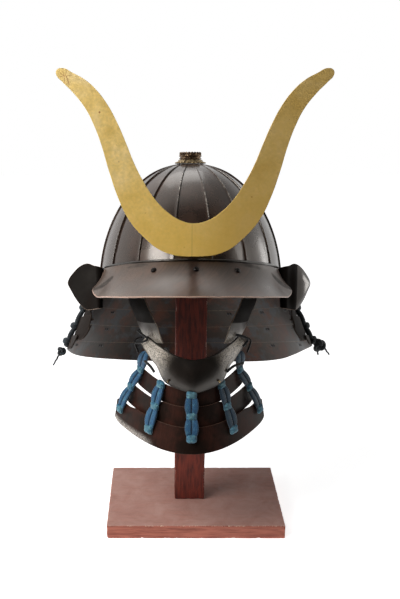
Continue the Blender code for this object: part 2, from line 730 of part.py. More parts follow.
# ------------------------------------------------------------ chin guard
def shell_between(name, first, second, bulge, finish, toward, along, down=4, off=0.0):
    """A curved plate between two edge lines, bowed away from the point `toward`."""
    a_line, b_line = spline_through(first, along), spline_through(second, along)
    inside = Vector(toward)
    rows = []
    for j in range(down + 1):
        share = j / down
        row = []
        for k, (a, b) in enumerate(zip(a_line, b_line)):
            before, after = max(k - 1, 0), min(k + 1, along - 1)
            run = (a_line[after] + b_line[after]) - (a_line[before] + b_line[before])
            out = run.cross(b - a).normalized()
            if out.dot((a + b) / 2 - inside) < 0:
                out = -out
            row.append(a.lerp(b, share) + out * (bulge(k / (along - 1)) * 4 * share * (1 - share) + off))
        rows.append(row)
    return sheet_object(name, grid_mesh(name, rows), finish, toward, even=True)


def build_chin_guard():
    def chin_bulge(share):
        return CHIN_BULGE * (1 - abs(2 * share - 1) ** 1.5)

    def cheek_bulge(share):
        return CHEEK_BULGE * (0.3 + 0.7 * share)

    shell_between("chin_guard", mirrored(CHIN_TOP), mirrored(CHIN_LOW), chin_bulge,
                  "brown_lacquer", toward=(0, -40, 250), along=25)
    lap = -(SHEET + CHEEK_SPACE)
    for name, sign in (("right", -1), ("left", 1)):
        front = [(x * sign, y, z) for x, y, z in CHEEK_FRONT]
        back = [(x * sign, y, z) for x, y, z in CHEEK_BACK]
        shell_between(f"cheek_plate_{name}", front, back, cheek_bulge, "brown_lacquer",
                      toward=(0, -20, 290), along=11, off=lap)
        hook = [(x * sign, y, z) for x, y, z in CORD_HOOK]
        wire_object(f"cord_hook_{name}", spline_through(hook, 9), HOOK_WIRE, "black_iron")


# ------------------------------------------------------------ throat guard
def throat_place(lame, across, down):
    """A point on a throat lame's inner face: across -1..1, down 0 at its top edge to 1."""
    up = 1 - down
    bend = across * across
    return Vector((THROAT_X + (lame["half"] - lame["draw"] * up) * across,
                   lame["front"] + lame["flare"] * up + lame["back"] * bend,
                   lame["bottom"] + lame["rise"] * bend + lame["height"] * up))


def throat_out(lame, across, down):
    """The way out from a throat lame's face."""
    run = throat_place(lame, across + 0.02, down) - throat_place(lame, across - 0.02, down)
    fall = throat_place(lame, across, down + 0.05) - throat_place(lame, across, down - 0.05)
    return fall.cross(run).normalized()


def build_throat_guard():
    around, down = 24, 2
    for number, lame in enumerate(THROAT_LAMES, 1):
        rows = []
        for j in range(down + 1):
            row = []
            for i in range(around + 1):
                across = 2 * i / around - 1
                share = 0.5 + (j / down - 0.5) * rounded_end(across, 0.28)
                row.append(throat_place(lame, across, share))
            rows.append(row)
        name = f"throat_lame_{number}"
        sheet_object(name, grid_mesh(name, rows), "brown_lacquer", (0, -20, 190), even=True)
    for number, across in enumerate(THROAT_LACES, 1):
        route, side, out = [], [], []
        first = 0.2 if across == 0 else 0.0
        if number in (1, len(THROAT_LACES)):
            x, y, z = OUTER_LACE_TOP
            route.append(Vector((math.copysign(x, across), y, z)))
            side.append(Vector((1, math.copysign(0.9, across), 0)))
            out.append(Vector((math.copysign(0.9, across), -1, 0)))
        for index, lame in enumerate(THROAT_LAMES):
            for share in ((first, 0.5, 0.95), (0.0, 0.35, 0.95), (0.0, 0.45))[index]:
                here = throat_place(lame, across, share)
                away = throat_out(lame, across, share)
                route.append(here + away * (SHEET + 1.2))
                side.append(throat_place(lame, across + 0.04, share) - here)
                out.append(away)
        thick = [THROAT_LACE_THICK] * len(route)
        strip_object(f"throat_lace_{number}", route, side, out, THROAT_LACE_WIDTH, thick, "blue_silk")


def build_tails():
    for name, points in (("left", TAIL_LEFT), ("right_a", TAIL_RIGHT_A), ("right_b", TAIL_RIGHT_B)):
        wire_object(f"lacing_tail_{name}", spline_through(points, 5), TAIL_RADIUS, "navy_silk")


# ------------------------------------------------------------ stand
def build_stand():
    high = BOARD_SIZE[2]
    box_object("stand_board", BOARD_SIZE, (BOARD_OFF_X, 0, high / 2), "painted_wood", EDGE_ROUND)
    rim = math.asin(PERCH_RADIUS / BOWL_HALF_WIDTH)
    steps = 5
    profile = []
    for k in range(steps + 1):
        turn = rim * k / steps
        profile.append((BOWL_HALF_WIDTH * math.sin(turn), BOWL_HEIGHT * math.cos(turn) - PERCH_SPACE))
    under = profile[-1][1] - PERCH_HEIGHT
    profile += [(PERCH_RADIUS, under), (0.0, under)]
    place = BOWL_FRAME.copy()
    place.translation = place.translation * MM
    turned_object("stand_perch", profile, "painted_wood", place)
    foot = high + GAP / MM
    back = POST_SIZE[1] / 2
    seat = BOWL_FRAME @ Vector((0, 0, under - GAP / MM))
    slope = math.tan(math.radians(BOWL_LEAN))
    side = [(-back, foot), (back, foot)]
    side += [(y, seat.z - (y - seat.y) * slope) for y in (back, -back)]
    post = outline_object("stand_post", side, POST_SIZE[0], side_on(0.0), "painted_wood", smooth=False)
    softened(post, EDGE_ROUND)
    outline_object("chin_bracket", CHIN_BRACKET, BRACKET_WIDTH, side_on(0.0), "black_iron", smooth=False)


clear_scene()
PART = new_collection(COLLECTION_NAME)
FINISH = {name: make_finish(name) for name in FINISHES}
build_stand()
build_bowl()
build_band()
build_crown()
build_peak()
build_crest()
build_neck_guard()
build_neck_laces()
build_chin_guard()
build_throat_guard()
build_tails()
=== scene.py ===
"""A kabuto, the samurai helmet, with its chin guard, on a wooden stand: the dressed model.

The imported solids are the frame, and every piece is made in their coordinates: +Z up, +X to
the helmet's left side, -Y the way that the helmet faces. Sizes are in millimetres, as they
are in the part's source, and MM turns them to the scene's metres.
"""

import logging
from collections.abc import Callable, Sequence
from dataclasses import dataclass
from enum import Enum
from functools import cache
from itertools import product
from math import acos, asin, copysign, cos, exp, hypot, inf, pi, radians, sin, sqrt, tan, tau

import bmesh
import bpy
from mathutils import Matrix, Vector, noise


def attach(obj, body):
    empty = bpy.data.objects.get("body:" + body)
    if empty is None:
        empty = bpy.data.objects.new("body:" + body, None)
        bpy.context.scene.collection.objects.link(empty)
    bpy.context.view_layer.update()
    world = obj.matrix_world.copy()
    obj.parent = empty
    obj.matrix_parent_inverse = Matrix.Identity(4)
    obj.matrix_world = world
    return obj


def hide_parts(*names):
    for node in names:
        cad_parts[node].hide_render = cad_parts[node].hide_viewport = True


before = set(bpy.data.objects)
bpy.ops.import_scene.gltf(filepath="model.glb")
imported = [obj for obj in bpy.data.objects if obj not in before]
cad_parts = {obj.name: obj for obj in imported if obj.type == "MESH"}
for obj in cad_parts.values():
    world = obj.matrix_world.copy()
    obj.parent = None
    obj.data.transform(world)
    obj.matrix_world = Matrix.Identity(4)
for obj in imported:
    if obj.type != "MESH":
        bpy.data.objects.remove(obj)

MM = 0.001  # metres in a millimetre
GAP = 0.3  # mm left between pieces that touch
SHEET = 1.6  # mm, the iron plate that the helmet is made of
BODY = "root"
HALVINGS = 30  # enough for a millionth of a millimetre
MERGE = 1e-5  # metres, the distance at which an outline's points are one
LOG = logging.getLogger("kabuto")

Triple = tuple[float, float, float]
Pairs = Sequence[tuple[float, float]]
Points = Sequence[Sequence[float]]
Line = Sequence[Vector]
Rows = list[list[Vector]]
Mesh, Face, Socket = bpy.types.Mesh, bpy.types.MeshPolygon, bpy.types.NodeSocket


class Side(Enum):
    """The helmet's own two sides, by the sign of X."""

    RIGHT = -1
    LEFT = 1

    @property
    def word(self) -> str:
        """The side's name, as the nodes spell it."""
        return self.name.lower()


# ---------------- curves and grids of points
def smooth_step(value: float) -> float:
    """Eases a share from 0 to 1, level at both ends."""
    value = min(max(value, 0.0), 1.0)
    return value * value * (3.0 - 2.0 * value)


def noise_at(*place: float) -> float:
    """Smooth noise, about -1..1."""
    return noise.noise(Vector(place))


def signed_power(value: float, power: float) -> float:
    """A power that keeps the sign: below 1 it squares a circle up."""
    return copysign(abs(value) ** power, value)


def turns(count: int) -> list[float]:
    """Equal turns round a circle, in radians."""
    return [tau * k / count for k in range(count)]


def flat_way(angle: float) -> Vector:
    """The level way at an angle."""
    return Vector((cos(angle), sin(angle), 0.0))


def bisected(low: float, high: float, below: Callable[[float], bool]) -> float:
    """The value between two limits where `below` stops being true."""
    for _ in range(HALVINGS):
        middle = (low + high) / 2
        low, high = (middle, high) if below(middle) else (low, middle)
    return (low + high) / 2


def spline_through(points: Points, count: int) -> list[Vector]:
    """Draws a smooth Catmull-Rom curve of `count` points through some points."""
    ends = [Vector(points[0]) * 2 - Vector(points[1]), *map(Vector, points),
            Vector(points[-1]) * 2 - Vector(points[-2])]
    result = []
    for k in range(count):
        s = k / (count - 1) * (len(points) - 1)
        i = min(int(s), len(points) - 2)
        t = s - i
        p0, p1, p2, p3 = ends[i:i + 4]
        result.append(0.5 * (2 * p1 + (p2 - p0) * t + (2 * p0 - 5 * p1 + 4 * p2 - p3) * t ** 2
                             + (3 * p1 - p0 - 3 * p2 + p3) * t ** 3))
    return result


def mirrored(half: Points) -> list[Vector]:
    """Makes a whole line from a half that starts on the middle plane, -X end first."""
    return [Vector((-p[0], p[1], p[2])) for p in reversed(half[1:])] + [Vector(p) for p in half]


def rounded_end(across: float, cut: float) -> float:
    """How much of its width a plate keeps, its corners rounded off near across = -1 and 1."""
    end = 0.1  # the share of each half that the rounding takes
    near_end = max(0.0, (abs(across) - 1 + end) / end)
    return 1 - cut * (1 - sqrt(max(0.0, 1 - near_end ** 2)))


def lengths_along(points: Line) -> list[float]:
    """The distance run at each point of a line."""
    run = [0.0]
    for a, b in zip(points, points[1:]):
        run.append(run[-1] + (b - a).length)
    return run


def evenly_spaced(points: Line, count: int) -> list[Vector]:
    """The same line with `count` points at equal distances."""
    run, result, i = lengths_along(points), [], 0
    for k in range(count):
        want = run[-1] * k / (count - 1)
        while i < len(run) - 2 and run[i + 1] < want:
            i += 1
        share = (want - run[i]) / max(run[i + 1] - run[i], 1e-9)
        result.append(points[i].lerp(points[i + 1], share))
    return result


def smooth_line(points: Points, fine: int, count: int) -> list[Vector]:
    """A smooth curve through points, drawn with `fine` points and then evenly spaced."""
    return evenly_spaced(spline_through(points, fine), count)


def nearest_step(line: Line, place: Vector) -> int:
    """The step of a line that is nearest to a place."""
    return min(range(len(line)), key=lambda k: (line[k] - place).length)


def grid(across: int, down: int, at: Callable[[float, float], object]) -> list[list]:
    """Values over a plate, row by row: `at` takes across -1..1 and down 0..1."""
    return [[at(2 * i / across - 1, j / down) for i in range(across + 1)] for j in range(down + 1)]


def lay_of(rows: Rows, ring: bool = False, top_counts: bool = True) -> Rows:
    """Where each point of a grid lies on its piece, for the finishes to follow.

    Args:
        rows: the grid.
        ring: whether the rows close on themselves, and so have no ends.
        top_counts: whether the first row is an edge that can be worn.

    Returns:
        For each point: millimetres along, down, and from the nearest edge.
    """
    down = [lengths_along(column) for column in zip(*rows)]
    lay = []
    for j, row in enumerate(rows):
        along = lengths_along(row)
        lay.append([])
        for i, run in enumerate(along):
            reach = [down[i][-1] - down[i][j]]
            reach += [down[i][j]] if top_counts else []
            reach += [] if ring else [run, along[-1] - run]
            lay[-1].append(Vector((run, down[i][j], min(reach))))
    return lay


# ---------------- meshes
def in_scene(name: str, data: bpy.types.ID) -> bpy.types.Object:
    """Puts a mesh, light, camera or curve in the scene as an object."""
    made = bpy.data.objects.new(name, data)
    bpy.context.scene.collection.objects.link(made)
    return made


def plain_mesh(name: str, points: Line, faces: Sequence[Sequence[int]],
               **values: Sequence | None) -> Mesh:
    """Makes a mesh from points in millimetres, with a value or a vector for each as attributes."""
    mesh = bpy.data.meshes.new(name)
    mesh.from_pydata([point * MM for point in points], [], faces)
    for label, listed in values.items():
        if listed is not None and isinstance(listed[0], Vector):
            mesh.attributes.new(label, "FLOAT_VECTOR", "POINT").data.foreach_set(
                "vector", [value for place in listed for value in place])
        elif listed is not None:
            mesh.attributes.new(label, "FLOAT", "POINT").data.foreach_set("value", listed)
    return mesh


def rebuilt(mesh: Mesh, parts: Sequence[Mesh], merge: float = 0.0,
            face_out: bool = True) -> Mesh:
    """Fills a mesh with parts, joins points nearer than `merge` metres and faces it outward."""
    bm = bmesh.new()
    for part in parts:
        bm.from_mesh(part)
    if merge:
        bmesh.ops.remove_doubles(bm, verts=bm.verts, dist=merge)
    if face_out:
        bmesh.ops.recalc_face_normals(bm, faces=bm.faces)
    bm.to_mesh(mesh)
    bm.free()
    return mesh


def grid_mesh(name: str, rows: Rows, ring: bool = False, caps: bool = False, loop: bool = False,
              lay: Rows | None = None, wear: list[list[float]] | None = None,
              stain: list[list[float]] | None = None) -> Mesh:
    """Makes a surface through rows of points.

    Args:
        name: the mesh's name.
        rows: the points, in millimetres.
        ring: closes each row.
        caps: fills the first and last rows.
        loop: joins the last row to the first.
        lay: each point's place on the piece, for the finishes.
        wear: how rubbed each point is, from 0 to 1.
        stain: how dark each point is painted, for painted shade and painted dark reflections, from 0 to 1.

    Returns:
        The mesh, in metres, its faces pointing out if it is closed.
    """
    count = len(rows[0])
    faces = []
    for j in range(len(rows) if loop else len(rows) - 1):
        after = (j + 1) % len(rows)
        for i in range(count if ring else count - 1):
            k = (i + 1) % count
            faces.append((j * count + i, j * count + k, after * count + k, after * count + i))
    if caps:
        faces += [tuple(range(count)), tuple((len(rows) - 1) * count + i for i in range(count))]
    points, lay, wear, stain = (values and [value for row in values for value in row]
                                for values in (rows, lay or lay_of(rows, ring), wear, stain))
    mesh = plain_mesh(name, points, faces, lay=lay, wear=wear, stain=stain)
    return rebuilt(mesh, [mesh])


def joined(name: str, parts: Sequence[Mesh]) -> Mesh:
    """Joins meshes into one and removes the separate ones."""
    mesh = rebuilt(bpy.data.meshes.new(name), parts, face_out=False)
    for part in parts:
        bpy.data.meshes.remove(part)
    return mesh


def turned_mesh(name: str, profile: Pairs, steps: int) -> Mesh:
    """Turns a profile of (radius, z) about +Z; a radius of 0 closes it at the axis."""
    closed = profile[0] == profile[-1]
    rows = [[flat_way(turn) * max(radius, 0.001) + Vector((0, 0, z)) for turn in turns(steps)]
            for radius, z in (profile[:-1] if closed else profile)]
    return grid_mesh(name, rows, ring=True, caps=not closed, loop=closed)


def tube_mesh(name: str, route: Line, radius: Callable[[float], float] | float,
              sides: int = 10, closed: bool = False, up: Vector = Vector((0.1, 0.2, 1.0)),
              twist: float = 0.0, strands: int = 0) -> Mesh:
    """Makes a round wire or twisted cord along a route.

    Args:
        name: the mesh's name.
        route: the points of its centre line, in millimetres.
        radius: its radius, or a function of the share of the way along.
        sides: points round it.
        closed: joins its ends.
        up: a way that its first cross way is turned to.
        twist: turns of the strands for each millimetre.
        strands: how many strands show round it, none for a plain wire.

    Returns:
        The mesh.
    """
    rows, last, normal = [], len(route) - 1, up
    groove = 0.14  # how deep the valleys between strands are, of its radius
    for k, (point, run) in enumerate(zip(route, lengths_along(route))):
        heading = (route[min(k + 1, last)] - route[max(k - 1, 0)]).normalized()
        normal = (normal - heading * normal.dot(heading)).normalized()
        size = radius(k / last) if callable(radius) else radius
        row = []
        for turn in turns(sides):
            strand = abs(cos((turn + tau * twist * run) * strands / 2)) if strands else 1.0
            way = heading.cross(normal) * cos(turn) + normal * sin(turn)
            row.append(point + way * size * (1 - groove + groove * strand))
        rows.append(row)
    return grid_mesh(name, rows, ring=True, caps=not closed, loop=closed)


def placed(mesh: Mesh, place: Matrix) -> Mesh:
    """Moves a mesh by a placing in millimetres."""
    shift = place.copy()
    shift.translation = place.translation * MM
    mesh.transform(shift)
    return mesh


# ---------------- finishes
BLACK, WHITE = "#000000", "#FFFFFF"
FACTOR, MIX_A, MIX_B, MIX_OUT = 0, 6, 7, 2  # the colour sockets of a Mix node


def linear(code: str) -> tuple[float, float, float, float]:
    """Turns an sRGB hex colour, such as "#3A2C26", to the linear values that shaders take."""
    values = [int(code[k:k + 2], 16) / 255 for k in (1, 3, 5)]
    return (*(v / 12.92 if v <= 0.04045 else ((v + 0.055) / 1.055) ** 2.4 for v in values), 1.0)


def set_inputs(node: bpy.types.Node, inputs: dict) -> None:
    """Feeds each input from an output, or sets it to a constant; colours may be hex codes."""
    for key, value in inputs.items():
        if isinstance(value, Socket):
            node.id_data.links.new(value, node.inputs[key])
        else:
            node.inputs[key].default_value = linear(value) if isinstance(value, str) else value


@dataclass(frozen=True)
class Graph:
    """A tree of nodes, and short ways to add those that the finishes share."""

    tree: bpy.types.NodeTree

    def add(self, kind: str, output: str | int, inputs: dict | None = None,
            **settings: object) -> Socket:
        """Adds a node with its settings and links.

        Args:
            kind: the node's type, without its "ShaderNode".
            output: which of its outputs is wanted.
            inputs: for a socket's name or number, a constant or the output that feeds it.
            settings: the node's own properties.

        Returns:
            The output.
        """
        node = self.tree.nodes.new("ShaderNode" + kind)
        for key, value in settings.items():
            setattr(node, key, value)
        set_inputs(node, inputs or {})
        return node.outputs[output]

    def ramp(self, value: Socket, *stops: tuple[float, str]) -> Socket:
        """A colour by a value, from places along a ramp and their hex colours."""
        result = self.add("ValToRGB", "Color", {0: value})
        elements = result.node.color_ramp.elements
        for number, (place, colour) in enumerate(stops):
            element = elements[number] if number < 2 else elements.new(place)
            element.position, element.color = place, linear(colour)
        return result

    def place(self) -> Socket:
        """The place in the scene, in metres."""
        return self.add("TexCoord", "Object")

    def attribute(self, name: str, output: str = "Fac") -> Socket:
        """One of the mesh's attributes."""
        return self.add("Attribute", output, attribute_name=name)

    def part(self, vector: Socket, axis: str) -> Socket:
        """One axis of a vector."""
        return self.add("SeparateXYZ", axis, {0: vector})

    def noise(self, place: Socket, size_mm: float, detail: float, rough: float,
              distortion: float = 0.0) -> Socket:
        """Noise that repeats about every `size_mm` millimetres."""
        return self.add("TexNoise", "Fac", {"Vector": place, "Scale": 1.0 / (size_mm * MM), "Detail": detail,
                                            "Roughness": rough, "Distortion": distortion})

    def remap(self, value: Socket, low: float, high: float, to_low: float = 0.0,
              to_high: float = 1.0, curve: str = "LINEAR") -> Socket:
        """Carries a value from one range to another and stops it at both ends."""
        limits = {1: low, 2: high, 3: to_low, 4: to_high}
        return self.add("MapRange", 0, {0: value, **limits}, interpolation_type=curve)

    def math(self, operation: str, *values: object) -> Socket:
        """A sum on values."""
        return self.add("Math", 0, dict(enumerate(values)), operation=operation)

    def mix(self, share: object, under: object, over: object, blend: str = "MIX") -> Socket:
        """Lays one colour over another by a share."""
        inputs = {FACTOR: share, MIX_A: under, MIX_B: over}
        return self.add("Mix", MIX_OUT, inputs, data_type="RGBA", blend_type=blend)

    def blend(self, share: object, start: object, end: object) -> Socket:
        """A value between two others."""
        return self.add("Mix", 0, {0: share, 2: start, 3: end})

    def bump(self, height: Socket, strength: float, depth_mm: float,
             over: Socket | None = None) -> Socket:
        """A relief, over another one or none."""
        inputs = {"Strength": strength, "Distance": depth_mm * MM, "Height": height}
        return self.add("Bump", 0, {**inputs, "Normal": over} if over else inputs)


@dataclass(frozen=True)
class Finish:
    """A finish, and the name of a material slot in the record, which this script keeps but doesn't use."""

    name: str
    slot: str

    def dress(self, graph: Graph) -> dict:
        """Adds the finish's own nodes and returns the inputs of its Principled shader."""
        raise NotImplementedError


@cache
def material_of(finish: Finish) -> bpy.types.Material:
    """A finish's material, built once."""
    material = bpy.data.materials.new(finish.name)
    material.use_nodes = True
    tree = material.node_tree
    set_inputs(tree.nodes["Principled BSDF"], finish.dress(Graph(tree)))
    return material


@dataclass(frozen=True)
class Lacquer(Finish):
    """Urushi lacquer, brushed on iron in thin coats and polished: dark, deep and glossy.

    It gives the eye broad soft reflections over a brown-black ground, warmer and redder
    where the coats have aged, pale along rubbed edges, and dark and dull with painted shade
    and painted dark reflections where the mesh asks.
    """

    slot: str = "brown_lacquer"
    ground: str = "#2B211D"
    patch: str = "#40261D"  # aged, redder lacquer
    worn: str = "#8C8177"  # rubbed through to grey iron
    edge: str = "#A08C7C"  # bare edges
    cool: str = ""  # bluish patches, where the coats have bloomed
    stain: str = "#1E1815"  # painted shade and painted dark reflections, by the mesh's attribute of that name
    sheen: str = "#FFF4E7"  # the warmth of its reflections
    patch_mm: float = 34.0
    patch_share: float = 0.5
    edge_mm: float = 0.9  # how far in an edge is rubbed
    streak_mm: float = 1.4  # spacing of the brush marks that run down the piece
    streak: float = 0.35
    roughness: float = 0.26
    coat: float = 0.3
    coat_roughness: float = 0.12
    specular: float = 0.5
    ior: float = 1.6

    def dress(self, graph: Graph) -> dict:
        """Adds the ground, patches, brush marks, worn edges and gloss."""
        place, lay = graph.place(), graph.attribute("lay", "Vector")
        clouds = graph.noise(place, self.patch_mm, 5.0, 0.62)
        start = 0.62 - 0.3 * self.patch_share
        aged = graph.ramp(clouds, (start, BLACK), (start + 0.18, WHITE))
        ground = graph.mix(aged, self.ground, self.patch)
        if self.cool:
            second = graph.add("SeparateColor", "Green", {0: clouds.node.outputs["Color"]})
            ground = graph.mix(graph.remap(second, 0.52, 0.6, 0.0, 0.9), ground, self.cool)
        # brush marks: long down the piece, narrow across it, and already to scale
        brushed = graph.add("Mapping", 0, {"Vector": lay, "Scale": (1 / self.streak_mm, 0.035, 0.0)})
        marks = graph.noise(brushed, 1 / MM, 4.0, 0.55)
        tone = graph.remap(marks, 0.3, 0.7, 1.0 - self.streak, 1.0 + self.streak)
        toned = graph.mix(1.0, ground, tone, "MULTIPLY")
        # rubbed places, and on the peak also a painted reflection, broken up by a grit of about 1.5 mm
        grit = graph.noise(place, 1.5, 3.0, 0.7)
        broken = graph.remap(grit, 0.36, 0.58)
        rubbed = graph.math("MULTIPLY", graph.attribute("wear"), broken)
        thin = graph.mix(rubbed, toned, self.worn)
        reach = graph.remap(broken, 0.0, 1.0, 0.25, self.edge_mm)
        bare = graph.math("LESS_THAN", graph.part(lay, "Z"), reach)
        # painted shade and painted dark reflections: darker and rougher where the mesh's attribute says
        stain = graph.attribute("stain")
        dull = graph.remap(clouds, 0.3, 0.7, self.roughness * 0.8, self.roughness * 1.3)
        relief = graph.bump(graph.math("SUBTRACT", marks, rubbed), 0.12, 0.25)
        return {"Base Color": graph.mix(stain, graph.mix(bare, thin, self.edge), self.stain),
                "Roughness": graph.blend(stain, dull, 0.85), "Normal": graph.bump(grit, 0.10, 0.2, relief),
                "IOR": self.ior, "Specular IOR Level": self.specular, "Specular Tint": self.sheen,
                "Coat Weight": self.coat, "Coat Roughness": self.coat_roughness}


@dataclass(frozen=True)
class GiltPlate(Finish):
    """Gilt brass sheet, matt from age: warm gold, cloudy, with small rust-brown spots, and painted shade
    toward its left arm.
    """

    slot: str = "gilt_brass"
    ground: str = "#E9C878"
    pale: str = "#F0D391"
    deep: str = "#DDB964"
    brown: str = "#A8843E"  # painted shade toward its left arm, the side away from the light
    rich: str = "#F2C454"  # brighter and more saturated low down
    spot: str = "#9A5F33"
    seam: str = "#A98A45"
    seam_x: float = -4.7  # mm, a faint upright fold line in its middle
    scratched: Triple = (-138.0, -108.0, 574.0)  # mm
    roughness: float = 0.52

    def dress(self, graph: Graph) -> dict:
        """Adds the clouding, grain, spots, the brighter colour low down, the painted shade toward its left
        arm, the seam and the scratches near one tip.
        """
        place = graph.place()
        clouds, grain = graph.noise(place, 28, 6.0, 0.6), graph.noise(place, 3.2, 3.0, 0.6)
        body = graph.ramp(clouds, (0.32, self.deep), (0.68, self.pale), (0.5, self.ground))
        mottled = graph.mix(1.0, body, graph.remap(grain, 0.3, 0.7, 0.86, 1.1), "MULTIPLY")
        cells = graph.add("TexVoronoi", "Distance", {"Vector": place, "Scale": 1 / (11 * MM)})
        dots = graph.remap(cells, 0.05, 0.13, 1.0, 0.0)
        spots = graph.math("MULTIPLY", dots, graph.math("GREATER_THAN", clouds, 0.52))
        spotted = graph.mix(spots, mottled, self.spot)
        low = graph.remap(graph.part(place, "Z"), 490 * MM, 400 * MM, 0.0, 0.65)
        across = graph.part(place, "X")
        # painted shade: the crest darkens and browns toward its left arm, away from the light
        shaded_side = graph.remap(across, -30 * MM, 60 * MM, 0.0, 0.5, "SMOOTHSTEP")
        aged = graph.mix(shaded_side, graph.mix(low, spotted, self.rich), self.brown)
        fold = graph.math("MULTIPLY", graph.math("COMPARE", across, self.seam_x * MM, 0.45 * MM), 0.4)
        seamed = graph.mix(fold, aged, self.seam)
        # short scratches, only within 10 mm of one place
        centre = [value * MM for value in self.scratched]
        away = graph.add("VectorMath", "Value", {0: place, 1: centre}, operation="DISTANCE")
        near = graph.remap(away, 6 * MM, 10 * MM, 0.7, 0.0)
        lines = graph.add("TexVoronoi", "Distance", {"Vector": place, "Scale": 1 / (7 * MM)},
                          feature="DISTANCE_TO_EDGE")
        scratches = graph.math("MULTIPLY", graph.math("LESS_THAN", lines, 0.03), near)
        return {"Base Color": graph.mix(scratches, seamed, self.spot), "Metallic": 0.3,
                "Roughness": graph.remap(grain, 0.3, 0.7, self.roughness - 0.08, self.roughness + 0.1),
                "Normal": graph.bump(grain, 0.08, 0.3)}


@dataclass(frozen=True)
class CastMetal(Finish):
    """Cast or forged fittings, darkened in their hollows and rubbed bright where they stand up."""

    slot: str = "aged_bronze"
    ground: str = "#8F7C5E"
    dark: str = "#3A2E22"
    bright: str = "#C9B184"
    grain_mm: float = 2.6
    roughness: float = 0.42
    metallic: float = 0.9

    def dress(self, graph: Graph) -> dict:
        """Adds the patina and its small pits."""
        patina = graph.noise(graph.place(), self.grain_mm, 5.0, 0.65)
        body = graph.ramp(patina, (0.34, self.dark), (0.70, self.bright), (0.5, self.ground))
        return {"Base Color": body, "Metallic": self.metallic, "Normal": graph.bump(patina, 0.3, 0.25),
                "Roughness": graph.remap(patina, 0.3, 0.7, self.roughness + 0.15, self.roughness - 0.1)}


@dataclass(frozen=True)
class SilkBraid(Finish):
    """Flat braided silk lacing: soft, slightly shiny ridges in a herringbone, faded in places, with painted
    shade in the stitches' valleys and at the braid's edges.

    The real braid's stitches are about 1 mm; they are drawn at 1.7 mm so that they show.
    """

    slot: str = "navy_silk"
    ground: str = "#2A6690"
    faded: str = "#5B9DB0"
    shade: str = "#123048"
    stitch_mm: float = 1.7
    width_mm: float = 8.0  # of the braid, whose edges are darkened with painted shade
    fade: float = 0.35
    roughness: float = 0.66

    def dress(self, graph: Graph) -> dict:
        """Adds the herringbone, the fading, the painted shade in the valleys and at the edges, and the
        silk's sheen.
        """
        place, lay = graph.place(), graph.attribute("lay", "Vector")
        half = graph.math("ABSOLUTE", graph.part(lay, "X"))
        slant = graph.math("ADD", graph.part(lay, "Y"), half)
        stitch = graph.math("SINE", graph.math("MULTIPLY", slant, tau / self.stitch_mm))
        hollow = graph.math("MULTIPLY", graph.remap(stitch, -1.0, 1.0), graph.noise(place, 0.8, 3.0, 0.6))
        clouds = graph.noise(place, 6, 4.0, 0.65)
        old = graph.remap(clouds, 0.62 - 0.3 * self.fade, 0.72 - 0.1 * self.fade, 0.0, 0.85)
        body = graph.mix(old, self.ground, self.faded)
        # painted shade: the stitches' valleys and the braid's edges take the shade colour
        stitch_shaded = graph.mix(graph.remap(hollow, 0.05, 0.4), self.shade, body)
        side = graph.remap(half, self.width_mm * 0.22, self.width_mm * 0.5, 0.0, 0.8)
        return {"Base Color": graph.mix(side, stitch_shaded, self.shade), "Normal": graph.bump(hollow, 0.6, 0.35),
                "Roughness": self.roughness, "Sheen Weight": 0.35, "Sheen Roughness": 0.4}


@dataclass(frozen=True)
class PaintedWood(Finish):
    """Softwood brushed with iron-oxide paint: red-brown, with grain, chips, and dust and a painted sheen on
    top.
    """

    slot: str = "painted_wood"
    ground: str = "#A25C49"
    deep: str = "#7A3B2B"
    # paler upper faces: partly dust, partly a painted sheen
    dust: str = "#BE968A"
    chip: str = "#D2B9A2"
    dust_and_sheen_share: float = 0.8
    chip_mm: float = 1.3
    along: Triple = (0.10, 1.0, 1.0)  # the grain runs the short way

    def dress(self, graph: Graph) -> dict:
        """Adds the grain, the upper faces paled by dust and a painted sheen, and the chipped edges."""
        place = graph.place()
        stretched = graph.add("Mapping", 0, {"Vector": place, "Scale": self.along})
        grain, grit = graph.noise(stretched, 3.0, 6.0, 0.6, 0.4), graph.noise(place, 2.4, 4.0, 0.75)
        wood = graph.ramp(grain, (0.36, self.deep), (0.60, self.ground))
        settled = graph.remap(graph.noise(place, 26, 8.0, 0.66, 0.6), 0.25, 0.75, self.dust_and_sheen_share - 0.35,
                              self.dust_and_sheen_share + 0.25)
        # level faces take the dust colour, which also paints their sheen
        level = graph.remap(graph.part(graph.add("NewGeometry", "Normal"), "Z"), 0.4, 0.9)
        dusted_and_sheened = graph.mix(graph.math("MULTIPLY", settled, level), wood, self.dust)
        reach = graph.remap(grit, 0.50, 0.66, -0.4, self.chip_mm)
        bare = graph.math("LESS_THAN", graph.part(graph.attribute("lay", "Vector"), "Z"), reach)
        return {"Base Color": graph.mix(bare, dusted_and_sheened, self.chip), "Roughness": 0.72,
                "Normal": graph.bump(graph.math("ADD", grain, grit), 0.5, 0.5)}


@dataclass(frozen=True)
class StudioPaper(Finish):
    """Matt white background paper: it shows only soft shadows."""

    slot: str = ""
    shade: str = "#FBFBFB"
    glow: float = 0.78  # it is lit from below too, as a product table is

    def dress(self, graph: Graph) -> dict:
        """Sets the paper's white and its faint fibre."""
        return {"Base Color": self.shade, "Roughness": 0.95, "Specular IOR Level": 0.1,
                "Normal": graph.bump(graph.noise(graph.place(), 2.0, 2.0, 0.5), 0.02, 0.1),
                "Emission Color": WHITE, "Emission Strength": self.glow}


# every finish on the object; a Lacquer's, CastMetal's or SilkBraid's colours go from its ground on
BOWL = Lacquer("polished_brown_lacquer_on_iron", "lacquered_iron", "#2A1F1A", "#36261F", worn="#B9B2A8",
               streak=0.18, edge_mm=0.5, patch_share=0.6)
